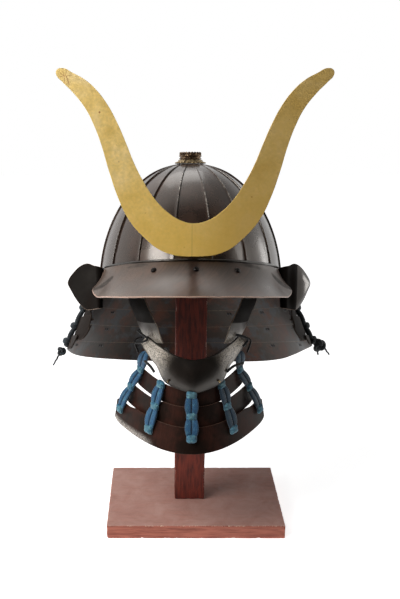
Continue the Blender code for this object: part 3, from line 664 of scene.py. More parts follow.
# its worn grey also paints a reflection, lighter toward the peak's right side
PEAK = Lacquer("rubbed_brown_lacquer_on_iron", ground="#372922", patch="#4A362C", worn="#8E7F72",
               edge="#B08F7E", streak=0.3, streak_mm=2.2, edge_mm=1.1, roughness=0.34, coat=0.15,
               coat_roughness=0.25, patch_mm=40)
# its pale edges are wear, and also a painted light line where each lame laps the next
LAMES = Lacquer("aged_brown_lacquer_on_iron", ground="#1A120E", patch="#4A2415", edge="#54463A",
                cool="#2B3238", streak=0.25, patch_share=0.55, roughness=0.36, coat=0.0, specular=0.22)
FLAPS = Lacquer("black_brown_lacquer_on_iron", ground="#1A110F", patch="#24140F", edge="#5E4A3F",
                streak=0.1, edge_mm=0.5, roughness=0.12, coat=0.0, specular=0.4)
# a darker, matt copy of the lame lacquer: painted shade for the lames' front ends, the first lame near its
# tips and the upper cheek plates
SHADED_DULL = Lacquer("shaded_dull_brown_lacquer_on_iron", ground="#0A0706", patch="#130C09", edge="#7A685B",
               streak=0.2, edge_mm=0.6, roughness=0.6, coat=0.0, specular=0.1)
CHIN = Lacquer("worn_brown_lacquer_on_iron", ground="#130E0B", patch="#1F1611", worn="#D6CAB9",
               edge="#8F8275", streak_mm=0.8, edge_mm=0.6, roughness=0.36, coat=0.1, specular=0.4)
THROAT = Lacquer("red_brown_lacquer_on_iron", ground="#1E1410", patch="#351B14", worn="#B8B0A8",
                 edge="#4A352B", streak=0.2, edge_mm=0.5, patch_share=0.6, roughness=0.40, coat=0.0,
                 specular=0.11)
# a black bead along the peak's joint: partly black lacquer, partly painted shadow of the gap there
SEAM_SHADE = Lacquer("black_lacquer_and_gap_shade", ground="#0C0A09", patch="#15100E", edge="#0C0A09", roughness=0.3)
GILT = GiltPlate("matt_gilt_brass")
BRONZE = CastMetal("aged_bronze")
CORONET = CastMetal("gilt_bronze", ground="#5F4B3A", bright="#B59B78", dark="#261D16", grain_mm=3.4)
IRON = CastMetal("blackened_iron", "black_iron", "#1E1B1A", "#100E0E", "#3A3532", roughness=0.36,
                 metallic=0.8)
BLUE = SilkBraid("indigo_silk_braid", "blue_silk")
BLUE_KNOT = SilkBraid("faded_indigo_silk", "blue_silk", "#3F7F9C", "#7FB3B5", "#1C4258", fade=0.7)
# a shaded copy of the blue braid: painted shade on the two throat columns on the helmet's left, away from
# the light
BLUE_SHADED = SilkBraid("shaded_indigo_silk", "blue_silk", "#22475F", "#3D7382", "#0C1E2C", fade=0.3)
NAVY = SilkBraid("navy_silk_braid", ground="#25323A", faded="#4E666E", shade="#0B1114", fade=0.25)
# near-black braid ends for the holes in the lames' inner faces: the braid's ends, darkened as painted shade
# in the holes
HOLE_SHADED_SILK = SilkBraid("hole_shaded_silk", ground="#0D0C0F", faded="#1B1D22", shade="#050506")
BLACK_CORD = SilkBraid("black_hemp_cord", ground="#16140F", faded="#2C2A22", shade="#080706", roughness=0.8)
BOARD = PaintedWood("dusty_sheened_painted_wood")
POST = PaintedWood("painted_wood", ground="#7C2E1D", deep="#4A190F", dust_and_sheen_share=0.2,
                   along=(1.0, 1.0, 0.12), chip_mm=0.6)


# ---------------- pieces
def add_piece(name: str, mesh: Mesh, finish: Finish, own: bool = True) -> bpy.types.Object:
    """Puts a mesh in the scene as a piece of the helmet.

    Args:
        name: the piece's name.
        mesh: its mesh, in place.
        finish: its finish.
        own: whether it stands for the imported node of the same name.

    Returns:
        The piece.
    """
    piece = in_scene(name, mesh)
    mesh.materials.clear()
    mesh.materials.append(material_of(finish))
    mesh.shade_smooth()
    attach(piece, BODY)
    if own:
        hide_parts(name)
    LOG.info("%s: %d faces", name, len(mesh.polygons))
    return piece


def add_sheet(name: str, mesh: Mesh, toward: Sequence[float], finish: Finish,
              rim: float = 0.5) -> bpy.types.Object:
    """Puts in a piece of sheet iron: an open surface, thickened outward, its rims rounded.

    Args:
        name: the piece's name.
        mesh: its inner face.
        toward: a point in millimetres that its inner face looks to.
        finish: its finish.
        rim: the radius of its rims in millimetres.

    Returns:
        The piece.
    """
    inside = Vector(toward) * MM
    if sum(face.normal.dot(face.center - inside) * face.area for face in mesh.polygons) < 0:
        mesh.flip_normals()
    piece = add_piece(name, mesh, finish)
    shell = piece.modifiers.new("sheet", "SOLIDIFY")
    shell.thickness, shell.offset, shell.use_even_offset = SHEET * MM, 1.0, False
    edge = piece.modifiers.new("rim", "BEVEL")
    edge.width, edge.segments, edge.limit_method = rim * MM, 3, "ANGLE"
    edge.angle_limit = radians(50)
    piece.modifiers.new("shade", "WEIGHTED_NORMAL").weight = 60
    return piece


def finish_faces(piece: bpy.types.Object, finishes: Sequence[Finish],
                 which: Callable[[Face], int]) -> None:
    """Gives a piece further finishes, and each face the one that `which` says, 0 for the first."""
    for finish in finishes:
        piece.data.materials.append(material_of(finish))
    for face in piece.data.polygons:
        face.material_index = which(face)


# ---------------- shapes used more than once
def knot_mesh(size: Triple, here: Vector, across: Vector, fall: Vector,
              out: Vector) -> Mesh:
    """Ties a woven knot: a small dome with one band of braid crossing over another.

    Args:
        size: its width, height and how far it stands out.
        here: the middle of its back.
        across: the way its width runs.
        fall: the way its height runs.
        out: the way its face looks.

    Returns:
        The closed mesh.
    """
    across, fall, out = across.normalized(), fall.normalized(), out.normalized()
    wide, high, proud = size
    rings, around = 15, 40
    band, corner, flat = 0.46, 0.72, 3.4  # half a band's width; powers: square corners, flat top
    rows, lay = [], []
    for j in range(rings + 1):
        reach = max(0.03, sin(pi / 2 * j / rings))
        dome = sqrt(max(0.0, 1 - reach ** flat))
        rows.append([])
        lay.append([])
        for turn in turns(around):
            x, y = (signed_power(value, corner) * reach for value in (cos(turn), sin(turn)))
            along, aside = (x + y) * 0.7, (x - y) * 0.7
            over = sqrt(max(0.0, 1 - (aside / band) ** 2))
            under = 0.75 * sqrt(max(0.0, 1 - (along / band) ** 2))
            rise = proud * dome * (0.62 + 0.38 * max(over, under))
            rows[-1].append(here + across * x * wide / 2 + fall * y * high / 2 + out * rise)
            u, v = (aside, along) if over > under else (along, aside)
            lay[-1].append(Vector((u * wide / 2, v * wide / 2, 5.0)))
    return grid_mesh("knot", rows, ring=True, caps=True, lay=lay)


@dataclass(frozen=True)
class LacedColumn:
    """Two braids side by side, puffed out between lames and gathered under woven knots."""

    width: float  # a braid's, where it is fullest
    thick: float
    gap: float  # between the two braids
    knot: Triple  # a knot's width, height and how far it stands out
    gathered: float = 0.42  # the share of its size that a braid keeps under a knot
    bow: float = 1.5  # how far a braid swings off the lames between knots

    def section(self, across: Vector, out: Vector) -> list[Vector]:
        """A braid's section: an oval, its two halves domed and a valley between them."""
        points, wide, deep = [], 0.22, 0.22  # the valley's, of half the width and the thickness
        for turn in turns(14):
            x, y = signed_power(cos(turn), 0.6), signed_power(sin(turn), 0.8)
            valley = deep * exp(-(x / wide) ** 2) if y > 0 else 0.0
            points.append(across * x * self.width / 2 + out * self.thick * (0.5 + 0.5 * y - valley))
        return points

    def braids(self, line: Line, sides: Line, outs: Line,
               marks: Sequence[int]) -> list[Mesh]:
        """Makes the two braids.

        Args:
            line: the points midway between them, on the lames' faces.
            sides: the way across at each point.
            outs: the way out at each point.
            marks: the steps where they are gathered, in order.

        Returns:
            The two meshes.
        """
        parts = []
        for sign in (-1, 1):
            route, fulls = [], []
            for k, (point, side, out) in enumerate(zip(line, sides, outs)):
                low = max([m for m in marks if m <= k], default=0)
                high = min([m for m in marks if m > k], default=low)
                puff = sin(pi * (k - low) / (high - low)) ** 0.6 if high > low else 0.0
                fulls.append(self.gathered + (1 - self.gathered) * puff)
                route.append(point + side.normalized() * sign * (self.width * fulls[-1] + self.gap) / 2
                             + out.normalized() * self.bow * puff)
            rows, lay = [], []
            for middle, run, side, out, full in zip(route, lengths_along(route), sides, outs, fulls):
                across, swell = side.normalized(), full + 0.03 * sin(run * 2.6)
                rows.append([middle + point * swell for point in self.section(across, out.normalized())])
                lay.append([Vector(((point - middle).dot(across), run, 5.0)) for point in rows[-1]])
            parts.append(grid_mesh("braid", rows, ring=True, caps=True, lay=lay))
        return parts


def outline_mesh(name: str, points: Pairs, thick: float, edge: float,
                 place: Matrix, smooth: bool = True) -> Mesh:
    """Makes a flat plate cut to an outline, its edges rounded.

    Args:
        name: the mesh's name.
        points: the outline.
        thick: the plate's thickness.
        edge: the radius of its edges.
        place: where its middle plane and origin stand, in millimetres.
        smooth: whether the outline is a smooth curve through the points.

    Returns:
        The closed mesh.
    """
    curve = bpy.data.curves.new(name + "_outline", "CURVE")
    curve.dimensions, curve.fill_mode = "2D", "BOTH"
    curve.extrude = (thick / 2 - edge) * MM
    curve.bevel_depth, curve.offset, curve.bevel_resolution = edge * MM, -edge * MM, 2
    curve.resolution_u = 16 if smooth else 1
    spline = curve.splines.new("BEZIER")
    spline.bezier_points.add(len(points) - 1)
    spline.use_cyclic_u = True
    for knot, (x, y) in zip(spline.bezier_points, points):
        knot.co = (x * MM, y * MM, 0.0)
        knot.handle_left_type = knot.handle_right_type = "AUTO" if smooth else "VECTOR"
    guide = in_scene(name + "_guide", curve)
    bpy.context.view_layer.update()
    mesh = bpy.data.meshes.new_from_object(guide.evaluated_get(bpy.context.evaluated_depsgraph_get()))
    bpy.data.objects.remove(guide, do_unlink=True)
    bpy.data.curves.remove(curve)
    rebuilt(placed(mesh, place), [mesh], MERGE)
    mesh.set_sharp_from_angle(angle=radians(35))
    return mesh


def side_on(x: float) -> Matrix:
    """The placing that stands an outline up in the plane of Y and Z, its middle at x."""
    place = Matrix(((0, 0, 1, 0), (1, 0, 0, 0), (0, 1, 0, 0), (0, 0, 0, 1)))
    place.translation.x = x
    return place


# ---------------- bowl
@dataclass(frozen=True)
class BowlShape:
    """The bowl's surface: half an ellipsoid that leans back, over a straight wall."""

    middle_x: float = -2.0
    half_width: float = 110.5
    half_depth: float = 122.0
    height: float = 144.0
    widest_z: float = 323.0
    lean: float = 10.0  # degrees
    brim_slope: float = 21.0  # degrees
    brim_z: float = 314.0
    band_width: float = 20.0

    def level(self, height: float, slope: float) -> Matrix:
        """The frame of a level tipped back by `slope` degrees."""
        return Matrix.Translation((self.middle_x, 0, height)) @ Matrix.Rotation(radians(-slope), 4, "X")

    @property
    def frame(self) -> Matrix:
        """The frame of its widest level."""
        return self.level(self.widest_z, self.lean)

    @property
    def brim_frame(self) -> Matrix:
        """The frame of its brim's plane."""
        return self.level(self.brim_z, self.brim_slope)

    def point(self, angle: float, latitude: float, off: float = 0.0) -> Vector:
        """A point at an angle and a latitude, `off` millimetres outside the surface."""
        axes = Vector((self.half_width, self.half_depth, self.height))
        above = max(latitude, 0.0)
        ball = flat_way(angle) * cos(above) + Vector((0, 0, sin(above)))
        place = Vector(a * b for a, b in zip(ball, axes))
        place.z += self.height * min(latitude, 0.0)
        return self.frame @ (place + Vector(b / a for a, b in zip(axes, ball)).normalized() * off)

    def latitude_at(self, angle: float, above_brim: float) -> float:
        """The latitude where the surface is this far above the brim's plane."""
        to_brim = self.brim_frame.inverted()
        return bisected(-1.4, 1.3, lambda latitude: (to_brim @ self.point(angle, latitude)).z < above_brim)

    def front_y(self, z: float) -> float:
        """The y of the surface on the middle plane at a height."""
        front = -pi / 2
        return self.point(front, bisected(0.0, 1.3, lambda latitude: self.point(front, latitude).z < z)).y


@dataclass(frozen=True)
class Bowl:
    """The helmet's bowl: sixteen iron plates with standing ribs, over a brow band."""

    shape: BowlShape = BowlShape()
    plates: int = 16
    rib: float = 3.4  # its height from the plate's inner face
    rib_at_crown: float = 2.1
    rib_thick: float = 1.3
    crown_hole: float = 15.0
    band_lap: float = 8.0
    rows_up: int = 56
    across: int = 9
    # plates whose ribs are rubbed: from latitude, to latitude, how much
    rubbed_ribs: Sequence[tuple] = ((15, 0.72, 1.28, 1.0), (0, 0.5, 1.05, 0.55), (1, 0.6, 1.2, 0.35))

    def section(self, length: float, rib: float) -> list[tuple[float, float]]:
        """A plate's section, `length` wide and with a rib this high: along the bowl, and out."""
        foot, lip = length - self.rib_thick, self.rib_thick / 2
        outer = [(foot * k / self.across, SHEET) for k in range(self.across)]
        outer[:1] = (0.0, SHEET - 0.35), (0.35, SHEET)
        stand = [(foot - 0.5, SHEET + 0.02), (foot - 0.12, SHEET + 0.2), (foot, rib - lip)]
        cap = [(foot + lip * (1 - cos(t)), rib - lip + lip * sin(t)) for t in (0.6, 1.1, 1.57, 2.04, 2.54)]
        inner = [(length * k / self.across, 0.0) for k in range(self.across, -1, -1)]
        return outer + stand + cap + [(length, rib - lip)] + inner

    def rubbed(self, plate: int, latitude: float) -> float:
        """How rubbed a plate's rib is at a latitude: short dashes on the ribs in front."""
        for number, low, high, strength in self.rubbed_ribs:
            if number == plate:
                inside = smooth_step((latitude - low) * 9) * smooth_step((high - latitude) * 9)
                dash = noise_at(latitude * 38.0, plate * 7.3, 0.4)
                return strength * inside * smooth_step(dash * 3.2 + 0.55)
        return 0.0

    def build(self) -> None:
        """Makes the plates, and the brow band with its top set inside them."""
        for plate in range(self.plates):
            self.build_plate(plate)
        shape, wide, inner = self.shape, self.shape.band_width, -(SHEET + 2 * GAP)
        profile = [(0.0, 0.0), (5.0, 0.0), (12.0, 0.0), (wide - 2.6, 0.0), (wide - 1.6, inner * 0.25),
                   (wide - 1.0, inner * 0.8), (wide - 0.2, inner), (wide + self.band_lap, inner)]
        rows = [[shape.point(turn, shape.latitude_at(turn, above), off) for turn in turns(192)]
                for above, off in profile]
        core = shape.frame @ Vector((0, 0, 20))
        add_sheet("brow_band", grid_mesh("brow_band", rows, ring=True), core, BOWL, rim=0.4)

    def build_plate(self, plate: int) -> None:
        """Makes one plate, counted from the front, and its rib."""
        shape, sweep = self.shape, tau / self.plates
        top = acos(self.crown_hole / shape.half_width)
        start = -pi / 2 + (plate - 0.5) * sweep
        low_end, high_end = (shape.latitude_at(angle, shape.band_width) for angle in (start, start + sweep))
        rows, lay, wear = [], [], []
        for k in range(self.rows_up + 1):
            rise = k / self.rows_up
            rib = self.rib_at_crown + (self.rib - self.rib_at_crown) * smooth_step((1 - rise) * 4)
            middle = (low_end + high_end) / 2
            mean = middle + (top - middle) * rise
            length = (shape.point(start + sweep, mean) - shape.point(start, mean)).length
            seam = 0.06 / length
            for values in (rows, lay, wear):
                values.append([])
            for along, off in self.section(length, rib):
                share = seam + (1 - 2 * seam) * along / length
                low = low_end + (high_end - low_end) * share
                latitude = low + (top - low) * rise
                rows[-1].append(shape.point(start + sweep * share, latitude, off))
                lay[-1].append(Vector((along + plate * 50, (latitude - low) * shape.height, 5.0)))
                wear[-1].append(self.rubbed(plate, latitude) * smooth_step((off - SHEET) / 1.2))
        name = f"bowl_plate_{plate + 1:02d}"
        mesh = grid_mesh(name, rows, ring=True, caps=True, lay=lay, wear=wear)
        mesh.set_sharp_from_angle(angle=radians(45))
        add_piece(name, mesh, BOWL)


@dataclass(frozen=True)
class CrownFitting:
    """The ornament at the crown: a petalled washer under a collar with a ring of beads."""

    shape: BowlShape = BowlShape()
    rib_at_crown: float = 2.1
    washer_radius: float = 19.5
    petals: int = 16
    petal_depth: float = 0.09  # of the washer's radius
    collar_radius: float = 14.0
    collar_height: float = 8.5
    loops: int = 22
    loop_wire: float = 0.75

    def build(self) -> None:
        """Makes the washer and the collar."""
        lift = self.shape.height + self.rib_at_crown + 2 * GAP
        add_piece("crown_washer", placed(self.washer(lift), self.shape.frame), BRONZE)
        add_piece("crown_collar", placed(self.collar(lift + 3.4 + GAP), self.shape.frame), CORONET)

    def washer(self, lift: float) -> Mesh:
        """Makes the petalled washer, its underside `lift` above the bowl's widest level."""
        rim, collar = self.washer_radius, self.collar_radius
        drop = self.shape.height * (1 - sqrt(1 - (rim / self.shape.half_width) ** 2))
        foot = lift - drop
        edge = [(-0.6, 0.9), (-0.1, 1.1), (0, 1.6), (-0.3, 2.1), (-1.1, 2.4), (-2.6, 2.9), (-3.6, 3.2)]
        profile = [(5.0, lift + 0.3), (collar - 1, lift - drop * 0.4 + 0.3),
                   *((rim + x, foot + z) for x, z in edge), (collar + 0.6, lift + 3.0), (5.0, lift + 3.4)]
        rows = []
        for angle in turns(self.petals * 12):
            notch = (1 - abs(sin(angle * self.petals / 2))) ** 1.5
            rows.append([])
            for radius, z in profile:
                outer = smooth_step((radius - collar) / 4)
                groove = 0.75 * notch ** 2 * outer if z > foot + 1.5 else 0.0
                way = flat_way(angle) * (1 - self.petal_depth * notch * outer)
                rows[-1].append(way * radius + Vector((0, 0, z - groove)))
        return grid_mesh("crown_washer", rows, ring=True, loop=True)

    def collar(self, base: float) -> Mesh:
        """Makes the collar, its underside at `base`, and the ring of upright loops round its top."""
        top, radius = base + self.collar_height, self.collar_radius
        upper = [(-3.4, -1.6), (-2.8, -1.2), (-2.0, -1.3), (-1.4, -2.6), (-1.1, -3.4), (-0.3, -3.8),
                 (0, -4.4), (-0.3, -5.0)]
        lower = [(-1.4, 2.6), (-1.2, 1.6), (-0.4, 1.2), (-0.2, 0.6), (-0.4, 0), (-5, 0), (-5, 1.5),
                 (-3.8, 2.2)]
        profile = [(radius + x, top + z) for x, z in upper] + [(radius + x, base + z) for x, z in lower]
        profile += [(radius - 3.4, top - 4.6), profile[0]]
        parts = [turned_mesh("collar", profile, 96)]
        for angle in turns(self.loops):
            out, around = flat_way(angle), flat_way(angle + pi / 2)
            centre = out * (radius - 1.3) + Vector((0, 0, top - 2.2))
            route = [centre + around * 1.55 * cos(turn) + Vector((0, 0, 1.75 * sin(turn)))
                     for turn in turns(20)]
            parts.append(tube_mesh("loop", route, self.loop_wire, sides=8, closed=True, up=out))
        return joined("crown_collar", parts)


# ---------------- peak and crest
@dataclass(frozen=True)
class Peak:
    """The peak over the brow, with the three rivets that hold it."""

    shape: BowlShape = BowlShape()
    join_sweep: float = 66.0  # degrees of bowl each side of the front
    seam: float = 2.0
    half_width: float = 122.0
    reach: float = 132.0
    root_y: float = -40.0
    edge_sweep: float = 77.0
    edge_z: float = 352.5
    edge_slope: float = 17.0
    corner_lift: float = 8.0
    rivet_radius: float = 3.4
    rivet_out: float = 0.24  # how far out the rivets are, 0 at the bowl to 1
    rivet_line: float = 96.0  # half the peak's width along them
    rivets: Sequence[tuple[str, float]] = (("right", -32.6), ("middle", 1.8), ("left", 36.3))
    # dark places, the two ovals at the ends painted dark reflections: from and to, across and out; half
    # their width in mm; how dark
    stains: Sequence[tuple] = (
        ((-0.77, 0.32), (-0.945, 0.92), 5.5, 1.0), ((0.80, 0.22), (0.975, 0.95), 5.5, 1.0),
        ((-0.62, 0.10), (-0.40, 0.06), 2.6, 0.8), ((0.42, 0.06), (0.66, 0.12), 2.6, 0.8))
    steps: tuple[int, int] = (132, 28)

    def joint(self, across: float, higher: float, off: float) -> Vector:
        """A point on the joint with the bowl, this much higher up the bowl and out from it."""
        angle = radians(-90 + self.join_sweep * across)
        above = self.shape.band_width - self.seam + higher
        return self.shape.point(angle, self.shape.latitude_at(angle, above), off)

    def point(self, across: float, out: float) -> Vector:
        """A point on its under face: across -1..1, out 0 at the bowl to 1 at its edge."""
        root = self.joint(across, 0.0, SHEET + 2 * GAP)
        turn = radians(self.edge_sweep) * across
        back = self.reach * (1 - cos(turn))
        corner = smooth_step((abs(across) - 0.8) / 0.2) * self.corner_lift
        edge = Vector((self.shape.middle_x + self.half_width * sin(turn), self.root_y - self.reach + back,
                       self.edge_z - tan(radians(self.edge_slope)) * back + corner))
        bend = root.lerp(edge, 0.26)
        bend.z = root.z + (edge.z - root.z) * 0.70
        return root * (1 - out) ** 2 + bend * 2 * out * (1 - out) + edge * out ** 2

    def uneven_point(self, across: float, out: float) -> Vector:
        """The same, its corners rounded and its edge a little wavy."""
        point = self.point(across, rounded_end(across, 0.22) * out)
        point.z += 0.5 * noise_at(across * 9, 0.7, 0) * out ** 3
        return point

    def build(self) -> None:
        """Makes the peak, the black bead along its joint, partly black lacquer and partly painted shadow of
        the gap, and its rivets.
        """
        rows = grid(*self.steps, self.uneven_point)
        stain = [[self.stained(point) for point in row] for row in rows]
        mesh = grid_mesh("peak", rows, lay=lay_of(rows, top_counts=False), stain=stain,
                         wear=grid(*self.steps, self.rubbed))
        add_sheet("peak", mesh, (0, -60, 250), PEAK)
        # the bead: black lacquer and painted shadow along the joint
        line = [self.joint(2 * k / 120 - 1, 1.5, 2 * SHEET) for k in range(121)]
        add_piece("peak_seam", tube_mesh("peak_seam", evenly_spaced(line, 120), self.bead), SEAM_SHADE, own=False)
        for name, x in self.rivets:
            self.build_rivet(f"peak_rivet_{name}", x)

    def stained(self, point: Vector) -> float:
        """How dark a point is painted: an oval painted dark reflection near each end, and a darker smudge by
        the seam.
        """
        dark = 0.0
        for start, end, half, strength in self.stains:
            a, b = self.point(*start), self.point(*end)
            run, offset = (b - a).normalized(), point - (a + b) / 2
            along = offset.dot(run)
            far = hypot(along / ((b - a).length / 2), (offset - run * along).length / half)
            uneven = 0.8 + 0.5 * noise_at(*(point / 5.0))
            dark = max(dark, strength * uneven * smooth_step((1.12 - far) / 0.24))
        return min(dark, 1.0)

    def bead(self, share: float) -> float:
        """The bead's radius, thicker toward the left end."""
        return 1.4 + 0.5 * share + 0.12 * sin(share * 61)

    def rubbed(self, across: float, out: float) -> float:
        """How pale the peak is painted: rubbed toward its edge, and paler toward its right side, a painted
        reflection.
        """
        drift = 0.5 + 0.5 * noise_at(across * 3.1, out * 1.7, 3.0)
        # the paler right side is a painted reflection; the paler edge is wear
        right, edge = smooth_step((-across - 0.1) / 0.7), smooth_step((out - 0.75) * 4)
        return min(1.0, (0.45 * right + 0.25 * edge) * drift)

    def build_rivet(self, name: str, x: float) -> None:
        """Makes one domed rivet, `x` millimetres across the peak."""
        across, out_by, radius = x / self.rivet_line, self.rivet_out, self.rivet_radius
        along = self.point(across, out_by + 0.04) - self.point(across, out_by - 0.04)
        sideways = self.point(across + 0.03, out_by) - self.point(across - 0.03, out_by)
        out = sideways.cross(along).normalized()
        out = -out if out.y > 0 else out
        place = out.to_track_quat("Z", "X").to_matrix().to_4x4()
        place.translation = self.point(across, out_by) + out * (SHEET + 0.1)
        dome = [(radius * cos(a), radius * 0.72 * sin(a)) for a in (1.35, 1.1, 0.85, 0.6, 0.35, 0.15, 0.0)]
        profile = [(0.0, radius * 0.72), *dome, (radius - 0.3, -0.3), (0.0, -0.3)]
        add_piece(name, placed(turned_mesh(name, profile, 32), place), IRON)


@dataclass(frozen=True)
class Crest:
    """The horned crest, cut from gilt plate, and the iron prong that holds it."""

    shape: BowlShape = BowlShape()
    half: Pairs = (  # outer edge, tip and inner edge
        (0, -8), (32, -3.2), (55, 13.6), (71, 33), (82, 56), (91, 83), (99, 111), (106, 130),
        (115, 148), (128, 164.5), (138.5, 175), (145, 182.5), (144.5, 187.5), (138.5, 189.5),
        (127.5, 184.5), (115.5, 178), (104, 168), (92, 152.5), (81, 132), (72, 111), (63.5, 90),
        (54.5, 72.5), (43, 54.5), (29, 40), (14.5, 30.8), (0, 27.7))
    thick: float = 1.5
    base: Triple = (-2.4, -134.0, 396.0)
    lean: float = 8.0  # degrees
    prong_span: tuple[float, float] = (398.0, 414.0)
    prong_width: float = 13.0

    def build(self) -> None:
        """Makes the crest, and its prong from the bowl to the crest's back."""
        points = [*self.half, *((-x, y) for x, y in reversed(self.half[1:-1]))]
        place = Matrix.Translation(self.base) @ Matrix.Rotation(radians(90 - self.lean), 4, "X")
        crest = add_piece("front_crest", outline_mesh("front_crest", points, self.thick, 0.3, place), GILT)
        crest.modifiers.new("shade", "WEIGHTED_NORMAL").weight = 80
        x, y, z = self.base
        slope, (low, high) = tan(radians(self.lean)), self.prong_span
        points = [(y + self.thick / 2 + 0.1 + (up - z) * slope, up) for up in (low, high)]
        points += [(self.shape.front_y(up) - SHEET, up) for up in (high, (low + high) / 2, low)]
        prong = outline_mesh("crest_hook", points, self.prong_width, 0.8, side_on(x), False)
        add_piece("crest_hook", prong, IRON)


# ---------------- neck guard
def level_on(edge: Pairs, share: float) -> float:
    """The level of an edge line at a share of its length."""
    points = spline_through([(*point, 0.0) for point in edge], 120)
    for a, b in zip(points, points[1:]):
        if b.x >= share:
            return a.y + (b.y - a.y) * (share - a.x) / max(b.x - a.x, 1e-9)
    return points[-1].y


@dataclass(frozen=True)
class NeckShape:
    """The neck guard's lames: bands of a cone round the brim, each outside the one above.

    Where a field has two values for the sides, they are the right side's and the left's.
    """

    shape: BowlShape = BowlShape()
    lames: int = 4
    top: float = 6.0  # the first lame's top edge above the brim line
    drop: float = 90.0  # the last lame's bottom edge below it
    lap: float = 6.0
    half_width: float = 113.8
    half_depth: float = 127.5
    flare: float = 20.6  # degrees
    backset: float = 0.2
    step: float = 2.7
    front: tuple[tuple[float, float], ...] = ((-47.0, -47.0), (-45.0, -68.0), (-68.0, -74.0), (-50.0, -42.0))
    corners: tuple[float, ...] = (0.0, 2.0, 17.0, 1.0)
    last_right: Pairs = (
        (0, -4.6), (0.12, -4.3), (0.3, -2.2), (0.5, 1.0), (0.65, 4.5), (0.8, 10.0), (0.9, 12.0), (1, 12.5))
    last_left: Pairs = (
        (0, -4.6), (0.12, -4.6), (0.35, -4.3), (0.5, -0.7), (0.6, 5.0), (0.7, 10.6), (0.8, 14.0), (1, 18.0))
    curl_radius: float = 7.0
    curl_turn: tuple[float, float] = (136.0, 148.0)  # degrees, by side
    flap_length: float = 38.5
    flap_rake: float = 0.25
    flap_swell: tuple[float, float] = (0.6, 4.5)  # by side
    flap_top: Pairs = (
        (0, 22), (0.2, 25), (0.4, 24), (0.6, 20), (0.8, 13.5), (0.93, 8), (1, 3))
    flap_low: Pairs = (
        (0, -31), (0.3, -32), (0.45, -30), (0.6, -24.5), (0.75, -17), (0.87, -9), (0.97, -2), (1, 1))

    def levels(self, index: int) -> tuple[float, float]:
        """A lame's top and bottom, on the brim's plane."""
        pitch = (self.drop + self.top - self.lap) / self.lames
        top = self.top - index * pitch
        return top, top - pitch - self.lap

    def axes(self, index: int, level: float) -> Triple:
        """A lame's half width, half depth and how far back its middle is, at a level."""
        drop = self.top - level
        out = drop * tan(radians(self.flare)) + index * self.step
        return self.half_width + out, self.half_depth + out, drop * self.backset

    def point(self, index: int, angle: float, level: float, off: float = 0.0) -> Vector:
        """A point on a lame's inner face, or `off` millimetres outside it."""
        a, b, back = self.axes(index, level)
        flat = Vector((a * cos(angle), b * sin(angle) + back, level))
        lean = radians(self.flare)
        out = Vector((cos(angle) / a, sin(angle) / b, 0.0)).normalized()
        return self.shape.brim_frame @ (flat + (out * cos(lean) + Vector((0, 0, sin(lean)))) * off)

    def end_angle(self, index: int, down: float) -> float:
        """The angle past the side where a lame's front end stops, down 0 at its top to 1."""
        top, bottom = self.levels(index)
        upper, lower = self.front[index]
        _, half_depth, back = self.axes(index, top + (bottom - top) * down)
        return asin((upper + (lower - upper) * down ** 2 - back) / half_depth)

    def bottom_at(self, index: int, run: float) -> float:
        """The level of a lame's bottom edge, at `run` radians round from the back."""
        end = pi / 2 - self.end_angle(index, 1.0)
        share = min(abs(run) / end, 1.0)
        corner = self.corners[index]
        left = min((1 - share) * end * self.half_depth, corner)
        lift = corner - sqrt(corner ** 2 - (corner - left) ** 2)
        if index == self.lames - 1:
            lift += level_on(self.last_left if run < 0 else self.last_right, share)
        return self.levels(index)[1] + lift

    def curl_path(self, side: Side) -> list[tuple[Vector, float, float]]:
        """Half of the first lame in plan, from the back to the front and out along the flap.

        Args:
            side: which half.

        Returns:
            Flat points, each with its share of the way from plain lame to full flap, and
            its share of the way along the flap.
        """
        a, b, path = self.half_width, self.half_depth, []
        turn, end = radians(self.curl_turn[side is Side.LEFT]), self.end_angle(0, 0.0)
        plain, curl, flap = 70, 30, 30  # steps
        for k in range(plain + 1):
            angle = pi / 2 + (end - pi / 2) * k / plain
            grow = smooth_step((k / plain - 0.84) / 0.16)
            path.append((Vector((a * cos(angle), b * sin(angle))), grow * 0.75, 0.0))
        heading = Vector((a * sin(end), -b * cos(end))).normalized()
        centre = path[-1][0] + Vector((-heading.y, heading.x)) * self.curl_radius
        arm = path[-1][0] - centre
        for k in range(1, curl + 1):
            path.append((centre + Matrix.Rotation(turn * k / curl, 2) @ arm, 0.75 + 0.25 * k / curl, 0.0))
        heading, point = Matrix.Rotation(turn, 2) @ heading, path[-1][0]
        for k in range(1, flap + 1):
            share = 1 - (1 - k / flap) ** 1.7
            path.append((point + heading * self.flap_length * share, 1.0, share))
        return path

    def flap_half(self, side: Side, down: int) -> Rows:
        """Columns of points down the first lame, from the back to one flap's tip."""
        top, bottom = self.levels(0)
        lean, half = tan(radians(self.flare)), []
        for flat, grow, along in self.curl_path(side):
            high = top + (level_on(self.flap_top, along) - top) * grow
            low = bottom + (level_on(self.flap_low, along) - bottom) * grow
            out = Vector((flat.x / self.half_width, flat.y / self.half_depth)).normalized()
            half.append([])
            for j in range(down + 1):
                level = high + (low - high) * j / down
                drop = top - level
                spread = flat + out * drop * lean * (1 - grow)
                spread.y += drop * (self.backset * (1 - grow) - self.flap_rake * grow)
                spread.y -= self.flap_swell[side is Side.LEFT] * self.pillow(along, j / down)
                spread.x -= drop * self.flap_rake * 0.35 * grow
                half[-1].append(self.shape.brim_frame @ Vector((side.value * spread.x, spread.y, level)))
        return half

    def pillow(self, along: float, down: float) -> float:
        """How full a flap is, 0..1: flat in the middle, falling away toward its rim."""
        rim = 1 - max(0.0, (along - 0.5) / 0.5) ** 2
        brow = 1 - max(0.0, (0.4 - down) / 0.4) ** 2
        foot = 1 - max(0.0, (down - 0.75) / 0.25) ** 2
        return rim * brow * foot * smooth_step(along / 0.35)


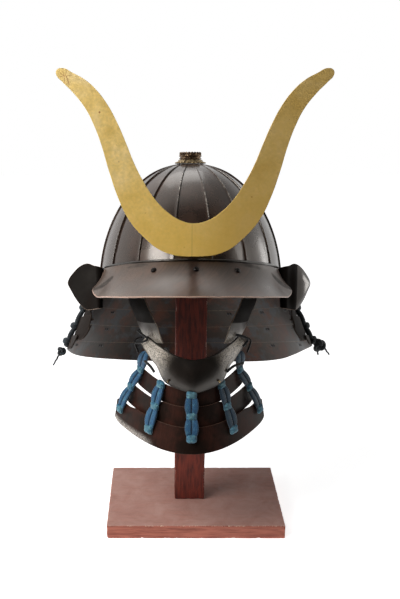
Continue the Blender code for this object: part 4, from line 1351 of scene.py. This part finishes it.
@dataclass(frozen=True)
class NeckGuard:
    """Four lacquered lames round the back and sides, the first turned back in two flaps."""

    neck: NeckShape = NeckShape()
    steps: tuple[int, int] = (180, 12)
    flap_steps: int = 20  # down the first lame
    shaded_from: float = 15.0  # y of the place from which the front ends take the dull lacquer with painted shade
    glossy_steps: int = 23  # columns of faces, from the left flap's tip, with its gloss
    curl_steps: int = 75  # columns, from either tip, that otherwise take the dull lacquer with painted shade

    def run_at(self, index: int, across: float, down: float) -> float:
        """How far round from the back a lame's point is, with the steps closer near both ends."""
        close = 0.3  # the share of each half where they are closer
        if abs(across) >= 1 - close:
            across = copysign(1 - close * ((1 - abs(across)) / close) ** 1.3, across)
        return (pi / 2 - self.neck.end_angle(index, down)) * across

    def place(self, index: int, across: float, down: float) -> Vector:
        """A point of a lame below the first: across -1..1, down 0 at its top edge to 1."""
        run, (top, _) = self.run_at(index, across, down), self.neck.levels(index)
        return self.neck.point(index, pi / 2 + run, top + (self.neck.bottom_at(index, run) - top) * down)

    def shadowed(self, index: int, across: float, down: float) -> float:
        """How much painted shade a lame gets there: dark past the sides."""
        return 0.9 * smooth_step((abs(self.run_at(index, across, down)) - pi / 2 - 0.06) / 0.12)

    def build(self) -> None:
        """Makes the lames, the first with its ear flaps last."""
        for index in range(1, self.neck.lames):
            rows, stain = (grid(*self.steps, lambda across, down: value(index, across, down))
                           for value in (self.place, self.shadowed))
            ends = self.shaded_from * MM if index < self.neck.lames - 1 else -inf
            self.build_lame(index, rows, stain, [SHADED_DULL], lambda face: int(face.center.y < ends))
        half = [self.neck.flap_half(side, self.flap_steps) for side in Side]
        columns = [*reversed(half[0][1:]), *half[1]]
        wide = len(columns) - 1
        self.build_lame(0, list(zip(*columns)), None, [SHADED_DULL, FLAPS],
                        lambda face: self.flap_finish(face.index % wide, wide - 1 - face.index % wide))

    def flap_finish(self, from_right: int, from_left: int) -> int:
        """Which finish the first lame has, by the columns of faces from its two tips."""
        if from_left < self.glossy_steps:
            return 2
        # the columns near either tip take the dull lacquer with painted shade
        return int(min(from_left, from_right) < self.curl_steps)

    def build_lame(self, index: int, rows: Rows, stain: list | None, finishes: Sequence[Finish],
                   which: Callable[[Face], int]) -> None:
        """Makes one lame, with further finishes for some of its faces."""
        name = f"neck_lame_{index + 1}"
        core = self.neck.shape.brim_frame @ Vector((0, 0, -20))
        finish_faces(add_sheet(name, grid_mesh(name, rows, stain=stain), core, LAMES), finishes, which)


@dataclass(frozen=True)
class NeckLacing:
    """Columns of paired silk braids that hang each lame from the one above."""

    neck: NeckShape = NeckShape()
    columns: int = 9
    spread: float = 24.5  # degrees between columns, counted from the back
    space: float = -0.9
    lacing: LacedColumn = LacedColumn(8.4, 6.7, 0.2, (13.0, 10.0, 5.6), gathered=0.62, bow=0.4)
    touches: tuple[tuple[float, ...], ...] = ((0.62, 0.97), (0.3, 0.97), (0.3, 0.97), (0.3, 0.9))
    knot_shares: tuple[float, float] = (0.42, 0.5)  # how far down a lame a knot is; on the last one
    hole_turn: float = 3.5  # degrees from a column to its holes, toward the front
    hole_apart: float = 0.014  # radians from their middle to each of a pair of holes
    hole_share: float = 0.36  # how far down a lame they are
    hole_size: Triple = (4.4, 4.4, 1.0)
    # the loose knots that end the outer columns: middle and size, by side
    end_knots: Sequence[tuple] = (((-162.5, -35.0, 241.0), 4.4), ((158.5, -34.5, 249.0), 6.4))
    tail: float = 1.2  # the radius of the short ends that hang from the knots
    tails: Sequence[tuple[str, Points]] = (
        ("left", ((-164.5, -35, 238.5), (-169.8, -35, 229), (-173.8, -35, 222))),
        ("right_a", ((156.6, -35, 244), (157.2, -35, 239.5), (158, -35, 236))),
        ("right_b", ((162.5, -35, 250), (167.5, -35, 242.5), (172.3, -35, 236))))

    def build(self) -> None:
        """Makes the columns, the ends that show inside, and the tails of the two knots."""
        angles = [radians(90 + (k - (self.columns - 1) / 2) * self.spread) for k in range(self.columns)]
        for number, angle in enumerate(angles, 1):
            self.build_column(number, angle)
        # the braid ends in the holes, painted near black as painted shade
        ends = [self.filled_hole(index, self.hole_angle(angle) + sign * self.hole_apart)
                for angle, index, sign in product(angles, range(1, self.neck.lames), (-1, 1))]
        add_piece("lace_ends_inside", joined("lace_ends_inside", ends), HOLE_SHADED_SILK, own=False)
        for name, points in self.tails:
            route = [p + Vector((0.25 * sin(k * 0.5), 0.3 * cos(k * 0.4), 0.0))
                     for k, p in enumerate(smooth_line(points, 40, 36))]
            mesh = tube_mesh("tail", route, self.taper, sides=14, twist=0.16, strands=4)
            add_piece(f"lacing_tail_{name}", mesh, NAVY)

    def taper(self, share: float) -> float:
        """The radius along a tail, frayed at its end."""
        return self.tail * (1.05 - 0.25 * share) * (1 - 0.6 * smooth_step((share - 0.93) / 0.07))

    def level(self, index: int, angle: float, share: float) -> float:
        """The level this far down a lame."""
        top = self.neck.levels(index)[0]
        return top + (self.neck.bottom_at(index, angle - pi / 2) - top) * share

    def build_column(self, number: int, angle: float) -> None:
        """Makes one column: two braids, and a woven knot on each lame below the first."""
        neck, route, out, last = self.neck, [], [], self.neck.lames - 1
        for index, shares in enumerate(self.touches):
            for share in shares:
                level = self.level(index, angle, share)
                under = 0.7 * neck.step if share > 0.9 else 0.0
                point = neck.point(index, angle, level, SHEET + self.space + under)
                if route and (point - route[-1]).length < self.lacing.thick:
                    continue
                route.append(point)
                base = neck.point(index, angle, level)
                out.append((neck.point(index, angle, level, 1.0) - base).normalized())
        across = (neck.point(0, angle + 0.02, 0.0) - neck.point(0, angle - 0.02, 0.0)).normalized()
        line, outs = smooth_line(route, 120, 100), smooth_line(out, 120, 100)
        sides = [(across - way * across.dot(way)).normalized() for way in outs]
        marks, knots = [0], []
        for index in range(1, neck.lames):
            level = self.level(index, angle, self.knot_shares[index == last])
            here = neck.point(index, angle, level, SHEET + self.space + self.lacing.thick * 0.6)
            fall = neck.point(index, angle, level - 4) - neck.point(index, angle, level)
            marks.append(nearest_step(line, here))
            knots.append(knot_mesh(self.lacing.knot, here, across, fall, outs[marks[-1]]))
        parts = self.lacing.braids(line, sides, outs, [*marks, len(line) - 1]) + knots
        if number in (1, self.columns):
            parts.append(self.end_knot(*self.end_knots[number == 1]))
        name = f"neck_lace_{number}"
        add_piece(name, joined(name, parts), NAVY)

    def end_knot(self, centre: Sequence[float], size: float) -> Mesh:
        """Ties a loose knot, a cord wound through itself three times."""
        route = []
        for turn in turns(120):
            ring = size * (0.60 + 0.40 * cos(3 * turn))
            flat = Vector((cos(2 * turn), 0.0, 1.12 * sin(2 * turn))) * ring
            route.append(Vector(centre) + flat + Vector((0, 0.45 * size * sin(3 * turn), 0)))
        return tube_mesh("knot", route, size * 0.40, sides=12, closed=True, twist=0.12, strands=6)

    def hole_angle(self, angle: float) -> float:
        """The angle of a column's holes."""
        return angle - copysign(radians(self.hole_turn), cos(angle)) * copysign(1, sin(angle))

    def filled_hole(self, index: int, angle: float) -> Mesh:
        """Makes the end of one braid, flush in its hole in a lame's inner face."""
        top, bottom = self.neck.levels(index)
        level = top + (bottom - top) * self.hole_share
        here = self.neck.point(index, angle, level, 0.5)
        across = (self.neck.point(index, angle + 0.02, level) - here).normalized()
        inward = (self.neck.point(index, angle, level, -1.0) - here).normalized()
        return knot_mesh(self.hole_size, here, across, inward.cross(across), inward)


# ---------------- chin guard
def on_side(points: Points, side: Side) -> list[Vector]:
    """Points given for the left side, put on one side."""
    return [Vector((x * side.value, y, z)) for x, y, z in points]


@dataclass(frozen=True)
class ChinGuard:
    """The lacquered chin guard, its cheek plates and the wire hooks for the cords."""

    top: Points = (
        (0, -112, 258.5), (11, -111, 260), (20.5, -109, 262.8), (29, -105.5, 266), (37, -97.5, 269.2),
        (46.5, -84, 271.5), (53.8, -72, 274))
    low: Points = (
        (0, -112, 219.4), (19.6, -106, 222.6), (31.3, -99, 226.6), (36.5, -93, 231.5),
        (42.5, -86, 242.9), (48.5, -80, 248.5), (62, -65, 263.8))
    bulge: float = 5.0
    cheek_front: Points = (
        (39, -93, 271), (42.5, -92, 281), (45.5, -89, 290.5), (49.5, -85.5, 298.5), (55.5, -81, 309.5),
        (61, -76, 322), (66, -70, 333))
    cheek_back: Points = (
        (59, -62, 266), (63.5, -58.5, 273), (68, -54.5, 281), (72.5, -49.5, 291.5), (79.5, -44.5, 307),
        (82.5, -42, 321), (79, -50, 334))
    cheek_bulge: float = 5.0
    cheek_space: float = 3.2
    cheek_shaded_from: float = 0.42  # the share of the way up from which the cheek plates take the dull lacquer with painted shade
    cheek_steps: tuple[int, int] = (80, 16)
    steps: tuple[int, int] = (160, 18)
    hook: Points = ((60.5, -69.5, 272), (66, -68, 270), (69.5, -66, 266), (68, -67, 259), (65.5, -68, 252))
    wire: float = 1.1
    stud: Triple = (30.0, -107.6, 230.6)
    stud_profile: Pairs = (
        (0.0, 1.1), (0.9, 0.9), (1.5, 0.2), (1.6, -0.4), (1.2, -3.5), (0.0, -3.5))
    straps: Sequence[tuple[str, float, Points]] = (  # name, radius and route
        ("arm_strap_right", 1.5, ((-66.2, -73, 281.7), (-60, -77, 278), (-54.5, -79, 273.4),
                                  (-60, -76, 268.5), (-68.2, -71, 265.4))),
        ("arm_strap_left", 1.7, ((50.9, -79, 278.4), (58, -77, 276), (65.4, -73, 270.2), (60, -74, 262))),
        ("throat_strap_right", 1.7, ((-46.2, -99, 239.5), (-51, -92, 244), (-57.5, -81, 245.9))),
        ("throat_strap_left", 1.7, ((39.2, -99, 239.5), (48, -91, 243.6), (59.8, -81, 243.4))),
        ("chin_thread", 1.2, ((-33.8, -105, 272.1), (-31, -107, 271), (-28.9, -107, 268.2))))

    def shell(self, first: Points, second: Points, bulge: Callable[[float], float], toward: Vector,
              steps: tuple[int, int], off: float = 0.0) -> Rows:
        """Fills between two edge lines with a plate bowed away from a point.

        Args:
            first: the first edge's points.
            second: the second edge's points.
            bulge: how far it bows at each share of the way along.
            toward: the point.
            steps: steps along and across.
            off: how far out the whole plate is moved.

        Returns:
            The plate's inner face.
        """
        along, down = steps
        a_line, b_line = spline_through(first, along + 1), spline_through(second, along + 1)
        columns = []
        for k, (a, b) in enumerate(zip(a_line, b_line)):
            before, after = max(k - 1, 0), min(k + 1, along)
            run = (a_line[after] + b_line[after]) - (a_line[before] + b_line[before])
            out = run.cross(b - a).normalized()
            out = -out if out.dot((a + b) / 2 - toward) < 0 else out
            shares = [j / down for j in range(down + 1)]
            columns.append([a.lerp(b, s) + out * (bulge(k / along) * 4 * s * (1 - s) + off) for s in shares])
        return list(zip(*columns))

    def chin_bow(self, share: float) -> float:
        """How far the chin guard bows out, nothing at its arms' ends."""
        return self.bulge * (1 - abs(2 * share - 1) ** 1.5)

    def cheek_bow(self, share: float) -> float:
        """How far a cheek plate bows out, more toward its top."""
        return self.cheek_bulge * (0.3 + 0.7 * share)

    def build(self) -> None:
        """Makes the chin guard, its straps, the cheek plates and the hooks."""
        toward = Vector((0, -40, 250))
        rows = self.shell(mirrored(self.top), mirrored(self.low), self.chin_bow, toward, self.steps)
        mesh = grid_mesh("chin_guard", rows, wear=grid(*self.steps, self.rubbed))
        add_sheet("chin_guard", mesh, toward, CHIN)
        rims = [self.rim(rows[0], rows[1]), self.rim(rows[-1], rows[-2])]
        add_piece("chin_guard_rim", joined("chin_guard_rim", rims), CHIN, own=False)
        for side in Side:
            place = Matrix.Translation(on_side([self.stud], side)[0]) @ Matrix.Rotation(pi / 2, 4, "X")
            stud = placed(turned_mesh("stud", self.stud_profile, 20), place)
            add_piece(f"chin_stud_{side.word}", stud, BRONZE, own=False)
        for name, radius, points in self.straps:
            cord = tube_mesh(name, smooth_line(points, 60, 44), radius, sides=12, twist=0.1, strands=3)
            add_piece(name, cord, BLACK_CORD, own=False)
        for side in Side:
            self.build_cheek(side)
            hook = tube_mesh("hook", smooth_line(on_side(self.hook, side), 80, 60), self.wire, sides=14)
            add_piece(f"cord_hook_{side.word}", hook, IRON)

    def rubbed(self, across: float, down: float) -> float:
        """How rubbed the chin guard is: its arms are worn pale in streaks, its middle is not."""
        drift = 0.5 + 0.5 * noise_at(across * 4.0, down * 6.0, 1.0)
        return min(1.0, smooth_step((abs(across) - 0.30) / 0.45) * (0.5 + 0.7 * drift))

    def rim(self, row: Line, inner: Line) -> Mesh:
        """Makes the turned rim along an edge of the chin guard, next to an inner line."""
        line = [a + (a - b).normalized() * 0.2 for a, b in zip(row, inner)]
        line = [p + (p - Vector((0, -40, p.z))).normalized() * SHEET * 0.5 for p in line]
        return tube_mesh("rim", line, 1.05, sides=12)

    def build_cheek(self, side: Side) -> None:
        """Makes one cheek plate, rubbed low down, and dull with painted shade above."""
        name, toward, wide = f"cheek_plate_{side.word}", Vector((0, -20, 290)), self.cheek_steps[0]
        front, back = on_side(self.cheek_front, side), on_side(self.cheek_back, side)
        rows = self.shell(front, back, self.cheek_bow, toward, self.cheek_steps, -(SHEET + self.cheek_space))
        wear = grid(*self.cheek_steps, lambda along, _: 0.8 * smooth_step(1 - 1.4 * (along + 1)))
        cheek = add_sheet(name, grid_mesh(name, rows, wear=wear), toward, CHIN)
        finish_faces(cheek, [SHADED_DULL], lambda face: int(face.index % wide > wide * self.cheek_shaded_from))


# ---------------- throat guard
@dataclass(frozen=True)
class ThroatLame:
    """One lame of the throat guard."""

    half: float  # half its width
    front: float  # y of its middle
    back: float  # how far back its ends are
    rise: float  # how far its ends climb
    bottom: float
    height: float
    flare: float  # how far its top edge is set back from its bottom edge
    hidden: float  # how far across its top is behind the one above
    knots: tuple[float, ...]  # how far down its knots are, from the outer to the middle
    draw: float = 4.0  # how far its top edge is drawn in at each end
    middle_x: float = -2.5

    def point(self, across: float, down: float) -> Vector:
        """A point on its inner face: across -1..1, down 0 at its top edge to 1."""
        up, bend = 1 - down, across * across
        return Vector((self.middle_x + (self.half - self.draw * up) * across,
                       self.front + self.flare * up + self.back * bend,
                       self.bottom + self.rise * bend + self.height * up))

    def out(self, across: float, down: float) -> Vector:
        """The way out from its face."""
        run = self.point(across + 0.02, down) - self.point(across - 0.02, down)
        fall = self.point(across, down + 0.05) - self.point(across, down - 0.05)
        return fall.cross(run).normalized()

    def cut_point(self, across: float, down: float) -> Vector:
        """A point of the plate as it is cut: its corners rounded, its hidden top taller."""
        tall = 0.1 * smooth_step((self.hidden - abs(across)) / 0.12) * (1 - down)
        return self.point(across, 0.5 + (down - 0.5) * rounded_end(across, 0.28) - tall)


@dataclass(frozen=True)
class ThroatGuard:
    """Three lames below the chin, hung in five columns of blue silk braid."""

    lames: Sequence[ThroatLame] = (
        ThroatLame(66.0, -113.0, 60.0, 9.0, 199.0, 21.0, 5.0, -1.0, (0.06, 0.10, 0.24)),
        ThroatLame(79.0, -121.0, 70.0, 8.0, 175.0, 24.0, 6.0, 0.52, (0.13, 0.26, 0.33)),
        ThroatLame(93.0, -133.0, 78.0, 9.0, 149.5, 27.0, 9.0, 0.84, (0.34, 0.38, 0.34)))
    columns: tuple[float, ...] = (-0.92, -0.53, 0.0, 0.53, 0.92)
    outer_top: Triple = (56.0, -67.0, 253.0)
    lacing: LacedColumn = LacedColumn(8.0, 3.8, 0.3, (12.8, 10.6, 4.6))
    steps: tuple[int, int] = (150, 14)

    def build(self) -> None:
        """Makes the lames and their lacing."""
        for number, lame in enumerate(self.lames, 1):
            name = f"throat_lame_{number}"
            wear = grid(*self.steps, self.rubbed) if number == len(self.lames) else None
            mesh = grid_mesh(name, grid(*self.steps, lame.cut_point), wear=wear)
            add_sheet(name, mesh, (0, -20, 190), THROAT)
        for number, across in enumerate(self.columns, 1):
            self.build_column(number, across)

    def rubbed(self, across: float, down: float) -> float:
        """How rubbed the last lame is: pale streaks at its lower right edge."""
        return smooth_step((-across - 0.45) / 0.2) * smooth_step((down - 0.72) / 0.2)

    def build_column(self, number: int, across: float) -> None:
        """Makes a column: two braids side by side, and a woven knot on each lame."""
        route, side, out, seats = [], [], [], []
        outer, last = number in (1, len(self.columns)), len(self.columns)
        if outer:
            x, y, z = self.outer_top
            slant = copysign(0.9, across)
            route.append(Vector((copysign(x, across), y, z)))
            side.append(Vector((1, slant, 0)).normalized())
            out.append(Vector((slant, -1, 0)).normalized())
        for lame in self.lames:
            share = lame.knots[min(number, last + 1 - number) - 1]
            here, away = lame.point(across, share), lame.out(across, share)
            run, fall = (lame.point(*to) - here for to in ((across + 0.04, share), (across, share + 0.1)))
            route.append(here + away * (SHEET + 0.9))
            side.append(run.normalized())
            out.append(away)
            seats.append((here + away * (SHEET + self.lacing.thick * 0.55), run, fall, away))
        line, sides, outs = (smooth_line(values, 160, 120 if outer else 90) for values in (route, side, out))
        marks = [0, *(nearest_step(line, seat[0]) for seat in seats)]
        line, sides, outs = (values[:marks[-1] + 3] for values in (line, sides, outs))
        braids = joined(f"throat_lace_{number}", self.lacing.braids(line, sides, outs, marks))
        # the two columns on the helmet's left take the painted-shade copy of the braid
        add_piece(f"throat_lace_{number}", braids, BLUE_SHADED if number >= last - 1 else BLUE)
        name = f"throat_knots_{number}"
        knots = [knot_mesh(self.lacing.knot, *seat) for seat in seats]
        add_piece(name, joined(name, knots), BLUE_KNOT, own=False)


# ---------------- stand
@dataclass(frozen=True)
class WoodBlock:
    """A block of wood with softened, uneven edges and shallow dents."""

    size: Sequence[float]  # width, depth and height
    centre: Sequence[float]
    cells: tuple[int, int, int]  # faces along each way
    radius: float  # how far its edges are rounded
    dents: float  # how deep its surface wanders
    seed: float  # shifts the pattern of dents

    def spread(self, share: float, half: float) -> float:
        """Spreads a -1..1 share over a side, with several steps inside each rounded edge."""
        start, edge = 0.82, self.radius * 2.2
        if abs(share) <= start:
            return share / start * (half - edge)
        return copysign(half - edge * (1 - (abs(share) - start) / (1 - start)), share)

    def spot(self, key: tuple[int, int, int]) -> tuple[Vector, Vector]:
        """A point of its surface by its step along each way, and the point's lay."""
        half = Vector(self.size) / 2
        flat = Vector(self.spread(k / n * 2 - 1, h) for k, n, h in zip(key, self.cells, half))
        reach = sorted(h - abs(v) for h, v in zip(half, flat))[1]
        inner = Vector(max(-h + self.radius, min(h - self.radius, v)) for h, v in zip(half, flat))
        out = flat - inner
        point = inner + out.normalized() * self.radius if out.length > 1e-6 else flat
        place = point + Vector((self.seed, self.seed, self.seed))
        deep = noise_at(*(place / 31)) * 0.5 + noise_at(*(place / 9)) * 0.3
        chip = max(0.0, noise_at(*(place / 4.5)) - 0.12) * (1 - smooth_step(reach / 5)) * 2.2
        point -= out.normalized() * (self.dents * max(0.0, deep) + chip)
        return Vector(self.centre) + point, Vector((point.x, point.y, reach - chip))

    def mesh(self, name: str) -> Mesh:
        """Makes the closed mesh, six grids that share their edges."""
        numbers: dict[tuple, int] = {}
        faces = []
        for axis in range(3):
            u, v = (axis + 1) % 3, (axis + 2) % 3
            for end, i, j in product((0, self.cells[axis]), range(self.cells[u]), range(self.cells[v])):
                corner = []
                for key_u, key_v in ((i, j), (i + 1, j), (i + 1, j + 1), (i, j + 1)):
                    key = [end] * 3
                    key[u], key[v] = key_u, key_v
                    corner.append(numbers.setdefault(tuple(key), len(numbers)))
                faces.append(corner if end else corner[::-1])
        points, lay = zip(*map(self.spot, numbers))
        return plain_mesh(name, points, faces, lay=lay)


@dataclass(frozen=True)
class Stand:
    """The plain wooden stand: a board, a post, a domed perch and the chin guard's arm."""

    shape: BowlShape = BowlShape()
    board: Triple = (229.0, 154.0, 19.0)
    board_x: float = 6.5
    post: tuple[float, float] = (40.0, 24.0)
    perch_radius: float = 44.0
    perch_height: float = 9.0
    perch_space: float = 1.4
    bracket: Pairs = ((-12.3, 193.0), (-12.3, 205.0), (-104.0, 240.0), (-104.0, 229.0))
    bracket_width: float = 16.0

    def build(self) -> None:
        """Makes the stand's four pieces."""
        block = WoodBlock(self.board, (self.board_x, 0, self.board[2] / 2), (110, 80, 22), 1.4, 0.5, 3.7)
        add_piece("stand_board", block.mesh("stand_board"), BOARD)
        self.build_post()
        self.build_perch()
        arm = outline_mesh("chin_bracket", self.bracket, self.bracket_width, 1.0, side_on(0.0), False)
        add_piece("chin_bracket", arm, IRON)

    @property
    def rim(self) -> float:
        """The perch's rim, as an angle from the bowl's axis."""
        return asin(self.perch_radius / self.shape.half_width)

    def build_post(self) -> None:
        """Makes the post, its top cut to the perch's slope."""
        foot = self.board[2] + GAP
        under = self.shape.height * cos(self.rim) - self.perch_space - self.perch_height
        seat = self.shape.frame @ Vector((0, 0, under - GAP))
        slope = tan(radians(self.shape.lean))
        high = seat.z + seat.y * slope - foot
        block = WoodBlock((*self.post, high), (0, 0, foot + high / 2), (24, 18, 90), 1.2, 0.35, 9.1)
        mesh = block.mesh("stand_post")
        for vertex in mesh.vertices:
            share = (vertex.co.z / MM - foot) / high
            vertex.co.z -= vertex.co.y * slope * smooth_step((share - 0.9) / 0.1)
        add_piece("stand_post", mesh, POST)

    def build_perch(self) -> None:
        """Makes the dome that the bowl rests on."""
        shape, radius = self.shape, self.perch_radius
        profile = [(shape.half_width * sin(turn), shape.height * cos(turn) - self.perch_space)
                   for turn in (self.rim * k / 24 for k in range(25))]
        edge = profile.pop()[1]
        under = edge - self.perch_height
        profile += [(radius - 0.8, edge + 0.1), (radius - 0.2, edge - 0.8), (radius, under + 1.2),
                    (radius - 0.4, under + 0.3), (radius - 1.2, under), (0.0, under)]
        add_piece("stand_perch", placed(turned_mesh("stand_perch", profile, 96), shape.frame), POST)


# ---------------- studio
@dataclass(frozen=True)
class StudioLight:
    """A flat soft light that faces the helmet: a softbox for the gloss, or a fill for matt surfaces."""

    name: str
    turn: float  # degrees round from the back of the room, toward +X
    rise: float  # degrees above the helmet's middle
    away: float  # metres from it
    size: tuple[float, float]  # metres
    power: float  # watts
    glossy: bool = True  # whether polished surfaces mirror it, or matt ones are lit by it

    def hang(self) -> None:
        """Puts the light in its place."""
        data = bpy.data.lights.new(self.name, "AREA")
        data.shape = "RECTANGLE"
        data.size, data.size_y = self.size
        data.energy = self.power
        light = in_scene(self.name, data)
        light.visible_glossy, light.visible_diffuse = self.glossy, not self.glossy
        turn, rise = radians(self.turn), radians(self.rise)
        way = Vector((sin(turn) * cos(rise), cos(turn) * cos(rise), sin(rise)))
        light.location = Vector((0, 0, 0.33)) + way * self.away
        light.rotation_euler = (-way).to_track_quat("-Z", "Y").to_euler()


@dataclass(frozen=True)
class Studio:
    """A white sweep of paper, soft light from the left, and the camera."""

    lens: float = 50.0
    sensor: float = 36.0
    camera_at: Triple = (-0.037, -1.008, 0.608)
    look_down: float = 17.1  # degrees
    shift_x: float = 0.0634
    lights: tuple[StudioLight, ...] = (
        StudioLight("softbox_left", -131.0, 29.0, 1.2, (0.55, 0.34), 8.0),
        StudioLight("softbox_right", 107.0, 18.0, 1.5, (0.31, 0.6), 2.9),
        StudioLight("softbox_above", -10.0, 55.0, 1.5, (0.9, 0.65), 3.7),
        StudioLight("strip_right", 70.0, 6.0, 1.5, (0.26, 0.40), 1.6),
        StudioLight("fill_left", -120.0, 38.0, 1.2, (0.9, 0.9), 18.0, glossy=False))
    ambient: float = 0.18  # what reaches matt surfaces from the room

    def build(self) -> None:
        """Makes the floor, the lights, the world and the camera."""
        self.build_floor()
        for light in self.lights:
            light.hang()
        self.build_world()
        self.build_camera()
        bpy.context.scene.view_settings.view_transform = "Standard"
        bpy.context.scene.view_settings.look = "None"

    def build_floor(self) -> None:
        """Lays the paper under the stand."""
        mesh = grid_mesh("paper", [[Vector((x, y, 0.0)) for x in (-1600, 1600)] for y in (-260, 3000)])
        if mesh.polygons[0].normal.z < 0:
            mesh.flip_normals()
        paper = in_scene("paper", mesh)
        mesh.materials.append(material_of(StudioPaper("white_paper")))

    def build_world(self) -> None:
        """Makes the room: bright at the sides and above, darker behind the camera."""
        world = bpy.data.worlds.new("studio")
        bpy.context.scene.world = world
        world.use_nodes = True
        graph = Graph(world.node_tree)
        way = graph.add("TexCoord", "Generated")
        back = graph.remap(graph.part(way, "Y"), -0.3, 0.2, 0.05, 1.0, "SMOOTHSTEP")
        right = graph.remap(graph.part(way, "X"), -0.1, 0.5, 1.2, 0.4, "SMOOTHSTEP")
        high = graph.remap(graph.part(way, "Z"), 0.25, 0.75, curve="SMOOTHSTEP")
        bright = graph.math("MULTIPLY", back, graph.blend(high, 1.0, right))
        lit = graph.blend(graph.add("LightPath", "Is Diffuse Ray"), bright, self.ambient)
        strength = graph.math("MAXIMUM", lit, graph.add("LightPath", "Is Camera Ray"))
        set_inputs(world.node_tree.nodes["Background"], {"Strength": strength, "Color": WHITE})

    def build_camera(self) -> None:
        """Sets up the camera."""
        data = bpy.data.cameras.new("camera")
        data.lens, data.sensor_width, data.shift_x = self.lens, self.sensor, self.shift_x
        camera = in_scene("camera", data)
        camera.location = self.camera_at
        camera.rotation_euler = (radians(90 - self.look_down), 0.0, 0.0)
        bpy.context.scene.camera = camera


def main() -> None:
    """Builds every piece, then the studio, and notes the sizes."""
    logging.basicConfig(level=logging.INFO, format="%(name)s: %(message)s")
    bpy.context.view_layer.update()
    for assembly in (Stand, Bowl, CrownFitting, Peak, Crest, NeckGuard, NeckLacing, ChinGuard, ThroatGuard,
                     Studio):
        assembly().build()
    bpy.context.view_layer.update()


if __name__ == "__main__":
    main()
